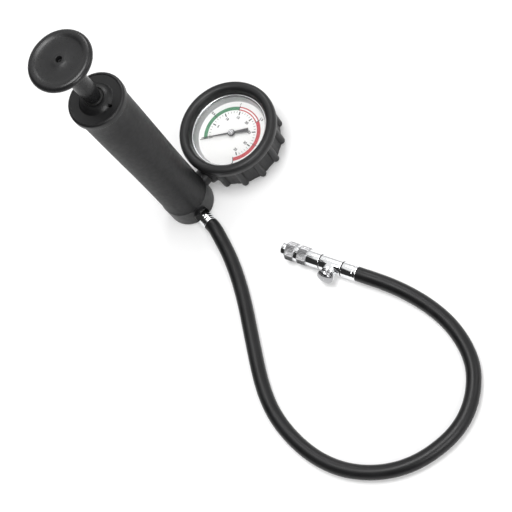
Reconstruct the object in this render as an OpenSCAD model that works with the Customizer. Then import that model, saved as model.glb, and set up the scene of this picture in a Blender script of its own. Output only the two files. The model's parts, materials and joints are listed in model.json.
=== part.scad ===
// Radiator pressure tester: a hand pump with a side gauge, a rubber hose and a quick coupler.
// Millimetres. The pump stands on its base cap, which is centred on the origin, with +Z up.
// The gauge lies face up on the +X side, and the hose leaves the base cap towards -Y.

/* [Base cap] */
// Outer radius of the base cap
base_r = 20.5; // [19.5:0.1:22]
// Height of the base cap up to its seam with the grip
base_h = 20.4; // [20:0.1:24]
// Thickness of the base cap's floor
base_floor = 4; // [3:0.1:5]
// Height of the collar that reaches up inside the grip
collar_h = 8; // [6:0.5:14]
// Wall of that collar
collar_wall = 1.5; // [1.2:0.1:1.8]
// Radius of the valve chamber
chamber_r = 8; // [7:0.1:9]
// Height at which the barrel seats in the base cap
seat_z = 13; // [12.5:0.1:15]
// Radius of the boss that holds the gauge
gauge_boss_r = 7.7; // [7.4:0.1:8]
// Radius of the hose boss
hose_boss_r = 6.6; // [6.2:0.1:7.5]
// Height of the hose outlet above the ground
outlet_z = 10; // [8.5:0.1:11]
// How far the hose boss stands out of the base cap
hose_boss_l = 2; // [1:0.1:4]
// Angle of the hose outlet round the pump, from the gauge
outlet_angle = -98; // [-110:1:-85]

/* [Barrel and grip] */
// Bore radius of the barrel
bore_r = 15.4; // [15:0.1:15.8]
// Wall of the barrel tube
barrel_wall = 1.6; // [1.2:0.1:1.7]
// Length of the barrel tube
barrel_l = 180; // [120:1:240]
// Outer radius of the grip at its narrow lower end
grip_low_r = 19.8; // [19.7:0.1:21]
// Outer radius of the grip near its top
grip_top_r = 21; // [20.5:0.1:22]
// How much each end of the grip flares out
grip_flare = 0.7; // [0:0.1:1]

/* [Top cap] */
// Outer radius of the top cap
cap_r = 23.3; // [22.5:0.1:25]
// Thickness of the top cap's flange
cap_h = 6; // [4.5:0.1:8]
// Width of the raised rim round the top cap
cap_rim_w = 1.4; // [0.8:0.1:2]
// Depth of the top cap's plug inside the barrel
plug_l = 11; // [8:0.5:16]
// Radius of the raised boss round the plunger
boss_r = 11.3; // [10.5:0.1:11.6]
// Height of that boss
boss_h = 3.6; // [2.5:0.1:5]
// Radius of the breather hole
breather_r = 1.1; // [0.8:0.1:1.3]

/* [Plunger] */
// Radius of the plunger rod
rod_r = 4; // [3.6:0.1:4.4]
// Radius of the rod's threaded lower end
rod_tail_r = 3; // [2.6:0.1:3.2]
// Radial running clearance of the rod in its bush
rod_gap = 0.08; // [0.05:0.01:0.1]
// Height of the piston head
piston_h = 8; // [6:0.5:12]
// Radial clearance of the piston head in the barrel
piston_gap = 0.35; // [0.3:0.05:0.5]
// Gap under the piston with the plunger pushed down
piston_rest_gap = 1.6; // [1:0.1:4]
// Thickness of the rubber buffer above the piston
buffer_h = 4; // [2:0.5:8]
// Outer radius of the knob's rim
knob_r = 25.5; // [22:0.1:28]
// Radius of the rounding of the knob's rim
knob_edge = 3; // [2.5:0.1:3.5]
// Height of the knob above its lower tip
knob_h = 51; // [44:0.5:60]
// Radius of the knob's neck under the disc
neck_r = 7.4; // [6.8:0.1:8.5]
// Gap between the knob's neck and the top cap's boss at rest
knob_gap = 10; // [3:0.5:12]

/* [Gauge] */
// Width of the rubber boot's front ring outside the gauge case
boot_ring_w = 9.6; // [8.6:0.1:11]
// Thickness of the boot's skirt round the gauge case
skirt_w = 4.7; // [4.1:0.1:5.5]
// Height of the boot's front ring above the bezel
boot_lip = 7.2; // [6.6:0.1:10]
// How far the boot's ribs stand out of its skirt
rib_rise = 2.7; // [2:0.1:3.2]
// Half width of each rib
rib_r = 3; // [2.5:0.1:3.4]
// Number of rib positions round the boot, the stem's place counted
rib_count = 14; // [10:1:18]
// Gap between the boot's front ring and the grip
boot_gap = 1.4; // [1:0.1:4]
// Outer radius of the gauge case
case_r = 33.5; // [33:0.1:34]
// Wall of the gauge case
case_wall = 1; // [0.8:0.1:1.2]
// Thickness of the boot behind the case
boot_back = 3.2; // [2.5:0.1:4]
// Height of the dial above the ground
dial_z = 22; // [21:0.1:23]
// Thickness of the dial plate
dial_t = 0.7; // [0.5:0.1:1]
// Space between the dial and the lens
dial_depth = 5.3; // [5:0.1:6.5]
// Thickness of the lens
lens_t = 2; // [1.5:0.1:3]
// Distance from the pointer's tip to the wall of the case
pointer_gap = 5.5; // [4.5:0.5:12]
// Length of the pointer's tail
tail_l = 15; // [8:0.5:18]
// Radius of the pointer's hub
hub_r = 2.7; // [2:0.1:3.5]
// Radius of the gauge's threaded stem
stem_r = 6.58; // [6:0.01:7]

/* [Movement] */
// Module of the gear teeth
tooth_m = 0.4; // [0.35:0.01:0.42]
// Teeth on the pinion
pinion_teeth = 10; // [9:1:12]
// Teeth that the sector gear would have as a whole wheel
sector_teeth = 70; // [60:1:72]
// Backlash between the teeth
backlash = 0.12; // [0.08:0.01:0.16]
// Radius of the pinion shaft
shaft_r = 0.7; // [0.6:0.05:0.8]
// Radial clearance of the shafts in the movement plates
shaft_gap = 0.06; // [0.04:0.01:0.1]
// Gap between the curved pressure tube and the wall of the case
tube_gap = 6; // [5:0.1:6.5]

/* [Hose] */
// Outer radius of the hose
hose_r = 6; // [5:0.1:6.2]
// Wall of the crimped ferrules outside the hose's radius
ferrule_wall = 0.7; // [0.5:0.1:1]
// Length of the ferrule at the pump
pump_ferrule_l = 7; // [5:0.5:10]
// Length of the hexagon on the pump's hose fitting
hex_l = 5; // [3:0.5:7]
// Length of the ferrule at the coupler
coupler_ferrule_l = 13; // [9:0.5:16]

/* [Coupler] */
// Distance of the coupler's hose end in front of the pump
coupler_front = 167.6; // [150:0.1:185]
// Distance of the coupler's hose end beside the pump
coupler_side = 37.5; // [20:0.1:60]
// Direction in which the coupler points
coupler_angle = 107.4; // [95:0.1:120]
// Radius of the coupler's smooth parts
coupler_r = 6.5; // [6:0.1:7]
// Length of the tee
tee_l = 21; // [17:0.5:26]
// Length of the smooth stretch between the tee and the collar
body_l = 13.5; // [8:0.5:20]
// Length of the fixed knurled collar
collar_l = 6.4; // [4:0.1:9]
// Radius of the fixed knurled collar
collar_r = 7.4; // [7:0.1:7.6]
// Travel of the sliding sleeve
sleeve_travel = 2.5; // [1.5:0.1:3]
// Length of the sliding sleeve
sleeve_l = 7; // [6:0.1:10]
// Radius of the sliding sleeve over its knurling
sleeve_r = 7.8; // [7.6:0.1:8.4]
// Length of the nose that stands out of the sleeve
nose_l = 4.6; // [3:0.1:7]
// Outer radius of the nose
nose_r = 5.5; // [5.3:0.1:5.8]
// Radius of the mouth's bore
mouth_r = 4; // [3.6:0.1:4.1]
// Depth of the mouth's bore
mouth_l = 12; // [10.5:0.5:13]
// Knurling ridges round the sleeve and the collar
knurls = 40; // [24:1:60]
// Depth of the knurling
knurl_depth = 0.4; // [0.2:0.05:0.5]

/* [Relief valve] */
// Radius of the tee's branch
branch_r = 5.2; // [4.6:0.1:5.6]
// Reach of the tee's branch from the coupler's centre line
branch_l = 8.6; // [7.5:0.1:11]
// Radius of the relief cap
relief_r = 6.7; // [6:0.1:7]
// Length of the relief cap
relief_l = 6.3; // [5.5:0.1:9]
// Travel of the relief cap
relief_travel = 1.5; // [0.8:0.1:1.6]

/* [Hidden] */
$fn = 64;

// Clearances: pieces fixed together, and pieces that move past each other
fit = 0.1;
run = 0.3;

// Pump heights
base_edge = 1.4;
barrel_r = bore_r + barrel_wall;
stem_z = base_h - gauge_boss_r;
collar_out_r = barrel_r + fit + collar_wall;
collar_top = base_h + collar_h;
barrel_top = seat_z + fit + barrel_l;
grip_z0 = base_h + 0.2;
grip_top = barrel_top + 0.4;
cap_top = grip_top + cap_h;
cap_face = cap_top - 0.5;
plug_z = barrel_top - plug_l;
boss_top = cap_top + boss_h;
thread_in_r = barrel_r + 0.8;
passage_r = 1.8;
passage_z = seat_z - 4;

// Valve between the barrel and the chamber
plate_t = 3;
port_r = 2.5;
disc_r = 5.5;
disc_t = 1.5;
disc_gap = 0.2;
disc_z = seat_z - disc_gap - disc_t;
check_wire = 0.35;

// Plunger heights
nut_h = 4;
washer_t = 1.2;
cup_t = 2.2;
nut_z = seat_z + fit + plate_t + piston_rest_gap;
washer_z = nut_z + nut_h;
cup_z = washer_z + washer_t + fit;
head_z = cup_z + cup_t + fit;
buffer_z = head_z + piston_h;
knob_z = boss_top + knob_gap;
knob_top = knob_z + knob_h;
socket_l = 32;
rod_top = knob_z + socket_l;
screw_r = 1.6;
screw_head_r = 2.5;
screw_seat_z = knob_top - 7;

// Gauge positions
boot_r = case_r + boot_ring_w;
skirt_r = case_r + skirt_w;
boot_open_r = case_r - 9.5;
shoulder_r = stem_r + 0.32;
gauge_x = grip_low_r + grip_flare + boot_gap + boot_r;
boss_face_x = gauge_x - skirt_r - 1.3;
washer_w = 1.5;
case_z0 = boot_back;
case_in_r = case_r - case_wall;
dial_top = dial_z + dial_t;
lens_z = dial_top + dial_depth;
lens_top = lens_z + lens_t;
bezel_lip = 1.4;
bezel_r = case_r + 1.1;
bezel_top = lens_top + bezel_lip;
bezel_z0 = lens_z - 3.4;
boot_h = bezel_top + boot_lip;
step_in_r = case_in_r - 1.5;
pointer_l = case_in_r - pointer_gap;
tube_r = 1.5;
tube_ring_r = case_in_r - tube_r - tube_gap;
flats_x = boss_face_x + washer_w - gauge_x;
flats_w = 11;
thread_x = thread_in_r + 0.3;
block_x = 1.8 - case_in_r;
block_l = 11;
block_w = 12;
block_step = 4;
mount_x = block_x + block_l + 2.1;
hub_z = dial_top + 1.9;
pointer_t = 0.6;

// Movement
pinion_pitch = tooth_m * pinion_teeth / 2;
sector_pitch = tooth_m * sector_teeth / 2;
gear_centres = pinion_pitch + sector_pitch;
press_angle = 25;
addendum = 0.8;
dedendum = 1.2;
sector_z = stem_z + 0.5;
sector_t = 1.2;
back_plate_z = stem_z - 2.8;
front_plate_z = stem_z + 4.3;
plate_th = 1;
post_r = 1.5;
tail_arm = 4.5;
tail_angle = 250;
link_gap = 0.25;
tube_end_angle = -60;
tube_start_angle = 172;
lug_angle = 15;
link_angle = tube_end_angle - 13;
post_x = 9;
foot_r = 3;
plate_reach = tube_ring_r - tube_r - 0.4;
bar_y = -sqrt(pow(plate_reach - foot_r, 2) - pow(post_x, 2));
posts = [[0, 7], [post_x, bar_y], [-post_x, bar_y]];

// Hose ends
boss_out = base_r + hose_boss_l;
ferrule_r = hose_r + ferrule_wall;
spigot_out = boss_out - thread_in_r;
hose_start = boss_out + hex_l + pump_ferrule_l;
outlet_dir = [cos(outlet_angle), sin(outlet_angle), 0];
coupler_dir = [cos(coupler_angle), sin(coupler_angle), 0];
coupler_z = sleeve_r + 0.2;
coupler_end = [coupler_side, -coupler_front, coupler_z];
hose_first = hose_start * outlet_dir + [0, 0, outlet_z];
hose_sides = 12;
// The loop that the hose makes on the ground, chosen by hand
hose_points = [[-9, -49, 8.6], [-16, -67, 7], [-26, -86, 6.3], [-37, -104, 6.2],
    [-49, -121, 6.2], [-61, -138, 6.2], [-73, -155, 6.2], [-84, -173, 6.2],
    [-92, -192, 6.2], [-96, -212, 6.2], [-97, -233, 6.2], [-94, -253, 6.2],
    [-87, -271, 6.2], [-76, -287, 6.2], [-62, -300, 6.2], [-46, -309, 6.2],
    [-29, -314, 6.2], [-12, -316, 6.2], [6, -313, 6.2], [23, -304, 6.2],
    [37, -291, 6.2], [46, -273, 6.2], [51, -254, 6.2], [52, -233, 6.2],
    [50, -213, 6.5], [46, -194, 7.2]];
hose_route = concat([hose_first, hose_first + hose_r * outlet_dir], hose_points,
    [coupler_end - hose_r * coupler_dir, coupler_end]);

// Distances along the coupler from the hose's end
tail_r = 3;
tail_bore = 1.5;
tail_seat = 3.2;
tee_u0 = coupler_ferrule_l;
tee_u1 = tee_u0 + tee_l;
tee_mid = tee_u0 + tee_l / 2;
spigot_r = 4.5;
spigot_l = 5.8;
sleeve_gap = sleeve_travel + 1.7;
body_u1 = tee_u1 + body_l;
collar_u1 = body_u1 + collar_l;
sleeve_u0 = collar_u1 + sleeve_gap;
sleeve_u1 = sleeve_u0 + sleeve_l;
nose_u1 = sleeve_u1 + nose_l;
mouth_u0 = nose_u1 - mouth_l;
sleeve_wall_r = nose_r + run;
spring_room_r = nose_r + 1.2;
ball_u = sleeve_u1 - 1.6;
ball_r = 0.7;
ball_count = 6;
seal_t = 1.4;
groove_r = mouth_r + 0.4;
line_r = 2.1;
valve_head_r = 2.8;
valve_chamber_r = 3.3;
valve_chamber_l = 12;
valve_u = mouth_u0 - seal_t - valve_chamber_l;

// Distances along the tee's branch from the coupler's centre line
relief_spigot_r = 3.3;
relief_spigot_l = 3.4;
relief_flange = 2.6;
relief_neck_r = 4.4;
relief_neck_l = 3.4;
relief_skirt_r = relief_neck_r + 0.4;
relief_bore = 1.6;
relief_stem_r = 1;
relief_w1 = branch_l + relief_flange;
relief_cap_w = relief_w1 + relief_travel + 0.2;
relief_roof = 2.3;
relief_head_r = 1.8;
relief_seal_t = 0.8;

// Points of an arc in the plane of a profile
function arc(x, y, r, a0, a1, n = 8) =
    [for (i = [0:n]) let (a = a0 + (a1 - a0) * i / n) [x + r * cos(a), y + r * sin(a)]];

// A tube swept along points, whose rings stand square to the route
function unit(v) = v / norm(v);
function heading(p, i) = unit(p[min(i + 1, len(p) - 1)] - p[max(i - 1, 0)]);
function ring(p, i, r, sides) =
    let (t = heading(p, i), s = unit(cross(t, [0, 0, 1])), u = cross(s, t))
    [for (k = [0:sides - 1]) p[i] + r * (cos(360 * k / sides) * s + sin(360 * k / sides) * u)];
module swept_tube(p, r, sides) {
    n = len(p);
    points = [for (i = [0:n - 1]) each ring(p, i, r, sides)];
    sides_faces = [for (i = [0:n - 2], k = [0:sides - 1])
        let (a = i * sides + k, b = i * sides + (k + 1) % sides)
        each [[a, b, b + sides], [a, b + sides, a + sides]]];
    first_face = [for (k = [0:sides - 1]) sides - 1 - k];
    last_face = [for (k = [0:sides - 1]) (n - 1) * sides + k];
    polyhedron(points, concat([first_face], sides_faces, [last_face]));
}

// A coil spring that stands on z = 0
module coil_spring(r, wire, turns, h) {
    steps = 16;
    rise = (h - 2 * wire) / (turns * steps);
    swept_tube([for (i = [0:turns * steps])
        [r * cos(360 * i / steps), r * sin(360 * i / steps), wire + i * rise]], wire, 6);
}

// A solid turned from a profile of [radius, height] points
module turned(profile) rotate_extrude($fn = 96) polygon(profile);
module ring_solid(r_in, r_out, h) turned([[r_in, 0], [r_out, 0], [r_out, h], [r_in, h]]);

// A turned ring with straight knurling between two chamfered ends
module knurled_ring(r_in, r_out, h) {
    edge = 0.5;
    core_r = r_out - knurl_depth - 0.1;
    turned([[r_in, 0], [core_r - edge, 0], [core_r, edge], [core_r, h - edge], [core_r - edge, h],
        [r_in, h]]);
    translate([0, 0, edge]) linear_extrude(h - 2 * edge) difference() {
        polygon([for (i = [0:2 * knurls - 1])
            let (a = 180 * i / knurls, r = r_out - (i % 2) * knurl_depth)
            [r * cos(a), r * sin(a)]]);
        circle(r_in + 0.2);
    }
}

// Frames: along the gauge stem, the hose outlet, the coupler and the tee's branch
module at_gauge() translate([gauge_x, 0, 0]) children();
module along_stem(x) translate([x, 0, stem_z]) rotate([0, 90, 0]) children();
module along_outlet(r) rotate([0, 0, outlet_angle]) translate([r, 0, outlet_z]) rotate([0, 90, 0]) children();
module along_coupler(u) translate(coupler_end) rotate([0, 0, coupler_angle]) rotate([0, 90, 0])
    translate([0, 0, u]) children();
module along_branch(w) along_coupler(tee_mid) rotate([-90, 0, 0]) translate([0, 0, w]) children();

module base_cap() color("#2b2b2d") difference() {
    union() {
        turned(concat([[0, 0], [base_r - 9, 0], [base_r - 8.4, 0.6], [base_r - 6, 0.6], [base_r - 5.4, 0]],
            arc(base_r - base_edge, base_edge, base_edge, -90, 0, 5),
            [[base_r, base_h], [collar_out_r, base_h], [collar_out_r, collar_top], [0, collar_top]]));
        along_stem(base_r - 6) cylinder(r = gauge_boss_r, h = boss_face_x - base_r + 6);
        along_outlet(base_r - 6) cylinder(r = hose_boss_r, h = hose_boss_l + 6);
    }
    translate([0, 0, seat_z]) cylinder(r = barrel_r + fit, h = barrel_l);
    translate([0, 0, base_floor]) cylinder(r = chamber_r, h = seat_z);
    along_stem(thread_in_r) cylinder(r = stem_r + fit, h = boss_face_x);
    translate([0, 0, passage_z]) rotate([0, 90, 0]) cylinder(r = passage_r, h = thread_in_r + 2);
    along_outlet(0) cylinder(r = passage_r, h = boss_out);
    along_outlet(thread_in_r - fit) cylinder(r = spigot_r + fit, h = boss_out);
}

module barrel_tube() color("#8d9094") translate([0, 0, seat_z + fit])
    ring_solid(bore_r, barrel_r, barrel_l);

module grip_sleeve() color("#303032") {
    l = grip_top - grip_z0;
    in_r = barrel_r + fit;
    turned([[collar_out_r + fit, grip_z0], [grip_low_r + grip_flare, grip_z0],
        [grip_low_r + 0.5 * grip_flare, grip_z0 + 2.5], [grip_low_r, grip_z0 + 8],
        [grip_low_r, grip_z0 + 0.3 * l], [grip_top_r - 0.2, grip_z0 + 0.8 * l],
        [grip_top_r, grip_top - 18], [grip_top_r + 0.4 * grip_flare, grip_top - 10],
        [grip_top_r + grip_flare, grip_top - 5], [grip_top_r + 1.8 * grip_flare, grip_top - 1],
        [grip_top_r + 1.8 * grip_flare, grip_top - 0.2], [in_r, grip_top - 0.2],
        [in_r, collar_top + 0.4], [collar_out_r + fit, collar_top + 0.4]]);
}

module top_cap() color("#2b2b2d") difference() {
    turned(concat([[0, plug_z], [bore_r - fit - 0.8, plug_z], [bore_r - fit, plug_z + 0.8],
        [bore_r - fit, grip_top], [cap_r - 0.6, grip_top]],
        arc(cap_r - 1.2, cap_top - 1.2, 1.2, 0, 90, 4),
        [[cap_r - cap_rim_w - 0.4, cap_top], [cap_r - cap_rim_w - 0.9, cap_face],
        [boss_r + 1.2, cap_face]],
        [[boss_r + 0.3, cap_face + 0.5]], arc(boss_r - 2.4, boss_top - 2.4, 2.4, 10, 90, 6),
        [[0, boss_top]]));
    // Seats for the bush and the wiper ring
    translate([0, 0, plug_z - 1]) cylinder(r = rod_r + 1, h = boss_top);
    translate([0, 0, plug_z + 3]) cylinder(r = rod_r + 2.5, h = boss_top);
    translate([0, 0, boss_top - 2]) cylinder(r = rod_r + 3.4, h = boss_top);
    rotate([0, 0, -79]) translate([boss_r + 2.3, 0, plug_z - 1])
        cylinder(r = breather_r, h = boss_top, $fn = 24);
}

module rod_bush() color("#b9a06a") translate([0, 0, plug_z + 3])
    ring_solid(rod_r + rod_gap, rod_r + 2.5 - fit, boss_top - 2 - plug_z - 3);

module wiper_ring() color("#3a3a3c") translate([0, 0, boss_top - 2])
    turned([[rod_r + rod_gap, 0], [rod_r + 3.4 - fit, 0], [rod_r + 3.4 - fit, 1],
        [rod_r + 2.6, 1.3], [rod_r + 1.6, 0.9], [rod_r + 0.9, 1.4], [rod_r + rod_gap, 1.6]]);

// Flat sealing rings at the two ends of the barrel
module barrel_seals() color("#1c1c1e") {
    translate([0, 0, barrel_top]) ring_solid(bore_r + fit, barrel_r, 0.4);
    translate([0, 0, collar_top]) ring_solid(barrel_r + fit, collar_out_r, 0.4);
}

module valve_plate() color("#c9a94f") translate([0, 0, seat_z + fit]) difference() {
    cylinder(r = bore_r - fit, h = plate_t);
    translate([0, 0, -1]) cylinder(r = port_r, h = plate_t + 2);
    for (a = [0:90:270]) rotate([0, 0, a]) translate([10.5, 0, 1.6]) cylinder(r = 1.6, h = plate_t, $fn = 24);
}

module check_disc() color("#1c1c1e") translate([0, 0, disc_z]) union() {
    cylinder(r = disc_r, h = disc_t);
    translate([0, 0, -1.5]) cylinder(r = 2, h = 1.6);
}

module check_spring() color("silver") translate([0, 0, base_floor])
    coil_spring(3, check_wire, 4, disc_z - base_floor);

module plunger_rod() color("#a8abb0") difference() {
    union() {
        translate([0, 0, nut_z]) cylinder(r = rod_tail_r, h = buffer_z - nut_z);
        translate([0, 0, buffer_z]) cylinder(r = rod_r, h = rod_top - buffer_z);
    }
    translate([0, 0, rod_top - 16]) cylinder(r = screw_r + fit, h = 17, $fn = 32);
}

module buffer_ring() color("#1c1c1e") translate([0, 0, buffer_z])
    turned([[rod_r + fit, 0], [9, 0], [9.6, 1], [9.6, buffer_h - 1], [8.6, buffer_h],
        [rod_r + fit, buffer_h]]);

module piston_head() color("#d8d8d4") translate([0, 0, head_z]) {
    r = bore_r - piston_gap;
    turned([[rod_tail_r + fit, 0], [r - 1, 0], [r, 1], [r, 2.4], [r - 1.5, 2.4], [r - 1.5, 4.6],
        [r, 4.6], [r, piston_h - 1], [r - 1, piston_h], [rod_tail_r + fit, piston_h]]);
}

module piston_cup() color("#1c1c1e") translate([0, 0, cup_z]) {
    lip = bore_r - 0.06;
    turned([[rod_tail_r + fit, 0], [11.5, 0], [12.4, -1.4], [lip - 1.2, -4.6], [lip, -4.6],
        [lip, -3.4], [lip - 0.8, -0.6], [lip - 1.6, cup_t], [rod_tail_r + fit, cup_t]]);
}

module piston_washer() color("#a8abb0") translate([0, 0, washer_z])
    ring_solid(rod_tail_r + fit, 10.5, washer_t);

module piston_nut() color("#a8abb0") translate([0, 0, nut_z]) difference() {
    cylinder(r = 5.8, h = nut_h, $fn = 6);
    translate([0, 0, -1]) cylinder(r = rod_tail_r + 0.05, h = nut_h + 2);
}

// A dished disc on a waisted neck that narrows to a rounded tip
module knob() color("#29292b") difference() {
    translate([0, 0, knob_z]) turned(concat([[0, 0.4], [rod_r + 0.3, 0]],
        arc(neck_r - 2.9, 1.6, 1.6, -60, 0, 4),
        [[neck_r - 0.9, 6], [neck_r - 0.1, 14], [neck_r, 20], [neck_r + 0.3, knob_h - 22],
        [neck_r + 1.4, knob_h - 16], [neck_r + 4, knob_h - 11], [neck_r + 8.5, knob_h - 7.6],
        [knob_r - 4.5, knob_h - 6.2]],
        arc(knob_r - knob_edge, knob_h - knob_edge, knob_edge, -75, 90, 10),
        [[knob_r - 5.5, knob_h - 0.3], [knob_r - 9, knob_h - 1.1], [knob_r - 13, knob_h - 1.4],
        [9, knob_h - 1.2], [5, knob_h - 0.7], [3.4, knob_h - 0.5], [0, knob_h - 0.5]]));
    translate([0, 0, knob_z - 1]) cylinder(r = rod_r + 0.05, h = socket_l + 1);
    translate([0, 0, knob_z]) cylinder(r = screw_r + fit, h = knob_h, $fn = 32);
    translate([0, 0, screw_seat_z]) cylinder(r = screw_head_r + fit, h = knob_h, $fn = 32);
}

module knob_screw() color("#2a2a2c") difference() {
    union() {
        translate([0, 0, rod_top - 12]) cylinder(r = screw_r, h = screw_seat_z - rod_top + 12, $fn = 32);
        translate([0, 0, screw_seat_z]) cylinder(r = screw_head_r, h = 2.6, $fn = 32);
    }
    translate([0, 0, screw_seat_z + 0.9]) cylinder(r = 1.45, h = 5, $fn = 6);
}

// Rubber boot: front ring, step, ribbed skirt, back lip and the collar round the stem
module gauge_boot() color("#262628") at_gauge() difference() {
    union() {
        turned(concat([[boot_open_r, 0]], arc(skirt_r - 2.8, 2.8, 2.8, -90, 0, 5),
            [[skirt_r, boot_h - 12.4], [skirt_r + 1.2, boot_h - 11], [boot_r - 1.6, boot_h - 9.6],
            [boot_r - 0.4, boot_h - 8]],
            arc(boot_r - 4.2, boot_h - 4.6, 4.2, -18, 62, 7),
            arc(bezel_r + 3.6, boot_h - 4.4, 4.4, 90, 172, 7),
            [[case_r + 0.1, bezel_top + 0.3], [boot_open_r, bezel_top + 0.3]]));
        for (i = [1:rib_count - 1]) rotate([0, 0, 180 + 360 * i / rib_count])
            translate([skirt_r + rib_rise - rib_r, 0, 0]) boot_rib();
        translate([0, 0, stem_z]) rotate([0, -90, 0])
            cylinder(r = gauge_boss_r + 1.7, h = skirt_r + 3);
    }
    translate([0, 0, case_z0 - 0.1]) cylinder(r = case_r + fit, h = boot_h);
    translate([0, 0, bezel_z0 - 0.2]) cylinder(r = bezel_r + fit, h = bezel_top - bezel_z0 + 0.3);
    translate([0, 0, -1]) cylinder(r = boot_open_r, h = case_z0 + 3);
    translate([0, 0, stem_z]) rotate([0, -90, 0]) cylinder(r = gauge_boss_r + 0.4, h = boot_r + 5);
}

module boot_rib() {
    rise_z = boot_h - 12;
    translate([0, 0, rib_r + 0.9]) cylinder(r = rib_r, h = rise_z - rib_r - 0.9, $fn = 24);
    translate([0, 0, rib_r + 0.9]) sphere(r = rib_r, $fn = 24);
    translate([-1.2, 0, rise_z]) cylinder(r1 = rib_r, r2 = rib_r - 1.2, h = 3, $fn = 24);
}

// Steel cup, with an inner step that the dial rests on and a hole for the socket
module gauge_case() color("#9a9da2") at_gauge() difference() {
    turned([[0, case_z0], [case_r - 2, case_z0], [case_r, case_z0 + 2], [case_r, lens_z],
        [case_in_r, lens_z], [case_in_r, dial_z], [step_in_r, dial_z - 1.5], [step_in_r, dial_z - 3],
        [case_in_r, dial_z - 4.5], [case_in_r, case_z0 + 2], [case_in_r - 1, case_z0 + 1], [0, case_z0 + 1]]);
    translate([0, 0, stem_z]) rotate([0, -90, 0]) cylinder(r = shoulder_r + 0.4, h = case_r + 5);
}

module gauge_bezel() color("#c6c8cb") at_gauge()
    turned([[case_r + 0.1, bezel_z0], [bezel_r, bezel_z0], [bezel_r, bezel_top - 1],
        [bezel_r - 0.8, bezel_top], [case_in_r - 0.4, bezel_top], [case_in_r - 0.8, lens_top + 0.5],
        [case_in_r - 0.8, lens_top], [case_r + 0.1, lens_top]]);

module gauge_lens() color([0.85, 0.9, 0.95, 0.35]) at_gauge()
    translate([0, 0, lens_z]) cylinder(r = case_r, h = lens_t, $fn = 96);

// Silvered cone between the dial and the lens
module lens_spacer() color("#b9bbbe") at_gauge()
    turned([[case_in_r - 2.7, dial_top], [case_in_r - 0.1, dial_top], [case_in_r - 0.1, lens_z],
        [case_in_r - 0.8, lens_z], [case_in_r - 2.5, dial_top + 0.5]]);

module dial_plate() color("white") at_gauge() translate([0, 0, dial_z]) difference() {
    cylinder(r = case_in_r - 0.15, h = dial_t, $fn = 96);
    translate([0, 0, -1]) cylinder(r = 1.7, h = 3, $fn = 32);
}

// The pointer rests at zero, an eighth of a turn before the nine o'clock of the stem
module pointer() color("#1a1a1a") at_gauge() translate([0, 0, hub_z]) rotate([0, 0, 135]) difference() {
    linear_extrude(pointer_t) union() {
        circle(r = hub_r - 0.3);
        polygon([[0, -0.75], [pointer_l - 1, -0.35], [pointer_l, 0], [pointer_l - 1, 0.35], [0, 0.75]]);
        polygon([[0, -0.9], [0, 0.9], [-4, 1], [-tail_l, 1.5], [-tail_l, -1.5], [-4, -1]]);
    }
    translate([0, 0, -1]) cylinder(r = shaft_r + 0.02, h = 3, $fn = 24);
}

module pointer_hub() color("#c9cbce") at_gauge() translate([0, 0, hub_z + pointer_t]) difference() {
    turned([[0, 0], [hub_r, 0], [hub_r, 1.1], [hub_r - 0.5, 1.6], [1.3, 1.6], [1.1, 2], [0, 2]]);
    translate([0, 0, -1]) cylinder(r = shaft_r + 0.02, h = 2.2, $fn = 24);
}

// Outline of one involute tooth that points along +X
function involute(a) = tan(a) * 180 / PI - a;
function flank(teeth, r) =
    let (pitch = tooth_m * teeth / 2, root = pitch * cos(press_angle),
        half = 90 / teeth - backlash * 45 / (PI * pitch))
    half + involute(press_angle) - involute(acos(min(1, root / max(r, root))));
module tooth(teeth) {
    pitch = tooth_m * teeth / 2;
    low = pitch - dedendum * tooth_m;
    high = pitch + addendum * tooth_m;
    radii = [for (i = [0:5]) low + (high - low) * i / 5];
    polygon(concat([[low - 0.3, 0.3]],
        [for (r = radii) [r * cos(flank(teeth, r)), r * sin(flank(teeth, r))]],
        [for (i = [5:-1:0]) let (r = radii[i]) [r * cos(flank(teeth, r)), -r * sin(flank(teeth, r))]],
        [[low - 0.3, -0.3]]));
}

module pinion_shaft() color("#c9a94f") at_gauge() {
    translate([0, 0, back_plate_z + 0.1])
        cylinder(r = shaft_r, h = hub_z + pointer_t + 1 - back_plate_z, $fn = 24);
    translate([0, 0, sector_z - 0.3]) linear_extrude(sector_t + 0.6) union() {
        circle(r = pinion_pitch - dedendum * tooth_m + 0.05);
        for (i = [0:pinion_teeth - 1]) rotate(270 + 180 / pinion_teeth + 360 * i / pinion_teeth)
            tooth(pinion_teeth);
    }
}

module sector_gear() color("#c9a94f") at_gauge() translate([0, -gear_centres, 0]) {
    root = sector_pitch - dedendum * tooth_m + 0.05;
    step = 360 / sector_teeth;
    translate([0, 0, sector_z]) linear_extrude(sector_t) difference() {
        union() {
            circle(r = 2);
            polygon(concat([[0, 0]], arc(0, 0, root, 90 - 9.5 * step, 90 + 2.5 * step, 16)));
            rotate(tail_angle) translate([0, -0.9]) square([tail_arm, 1.8]);
            rotate(tail_angle) translate([tail_arm, 0]) circle(r = 1.2);
            for (k = [-9:2]) rotate(90 + k * step) tooth(sector_teeth);
        }
        polygon(concat(arc(0, 0, 5, 90 - 7 * step, 90 - 0.5 * step, 4),
            arc(0, 0, root - 2.2, 90 - 0.5 * step, 90 - 7 * step, 6)));
    }
    translate([0, 0, back_plate_z + 0.1])
        cylinder(r = shaft_r, h = front_plate_z + plate_th - back_plate_z - 0.2, $fn = 24);
    // Pin that carries the link
    rotate([0, 0, tail_angle]) translate([tail_arm, 0, sector_z + sector_t - 0.1])
        cylinder(r = 0.5, h = 1.1, $fn = 24);
}

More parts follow.
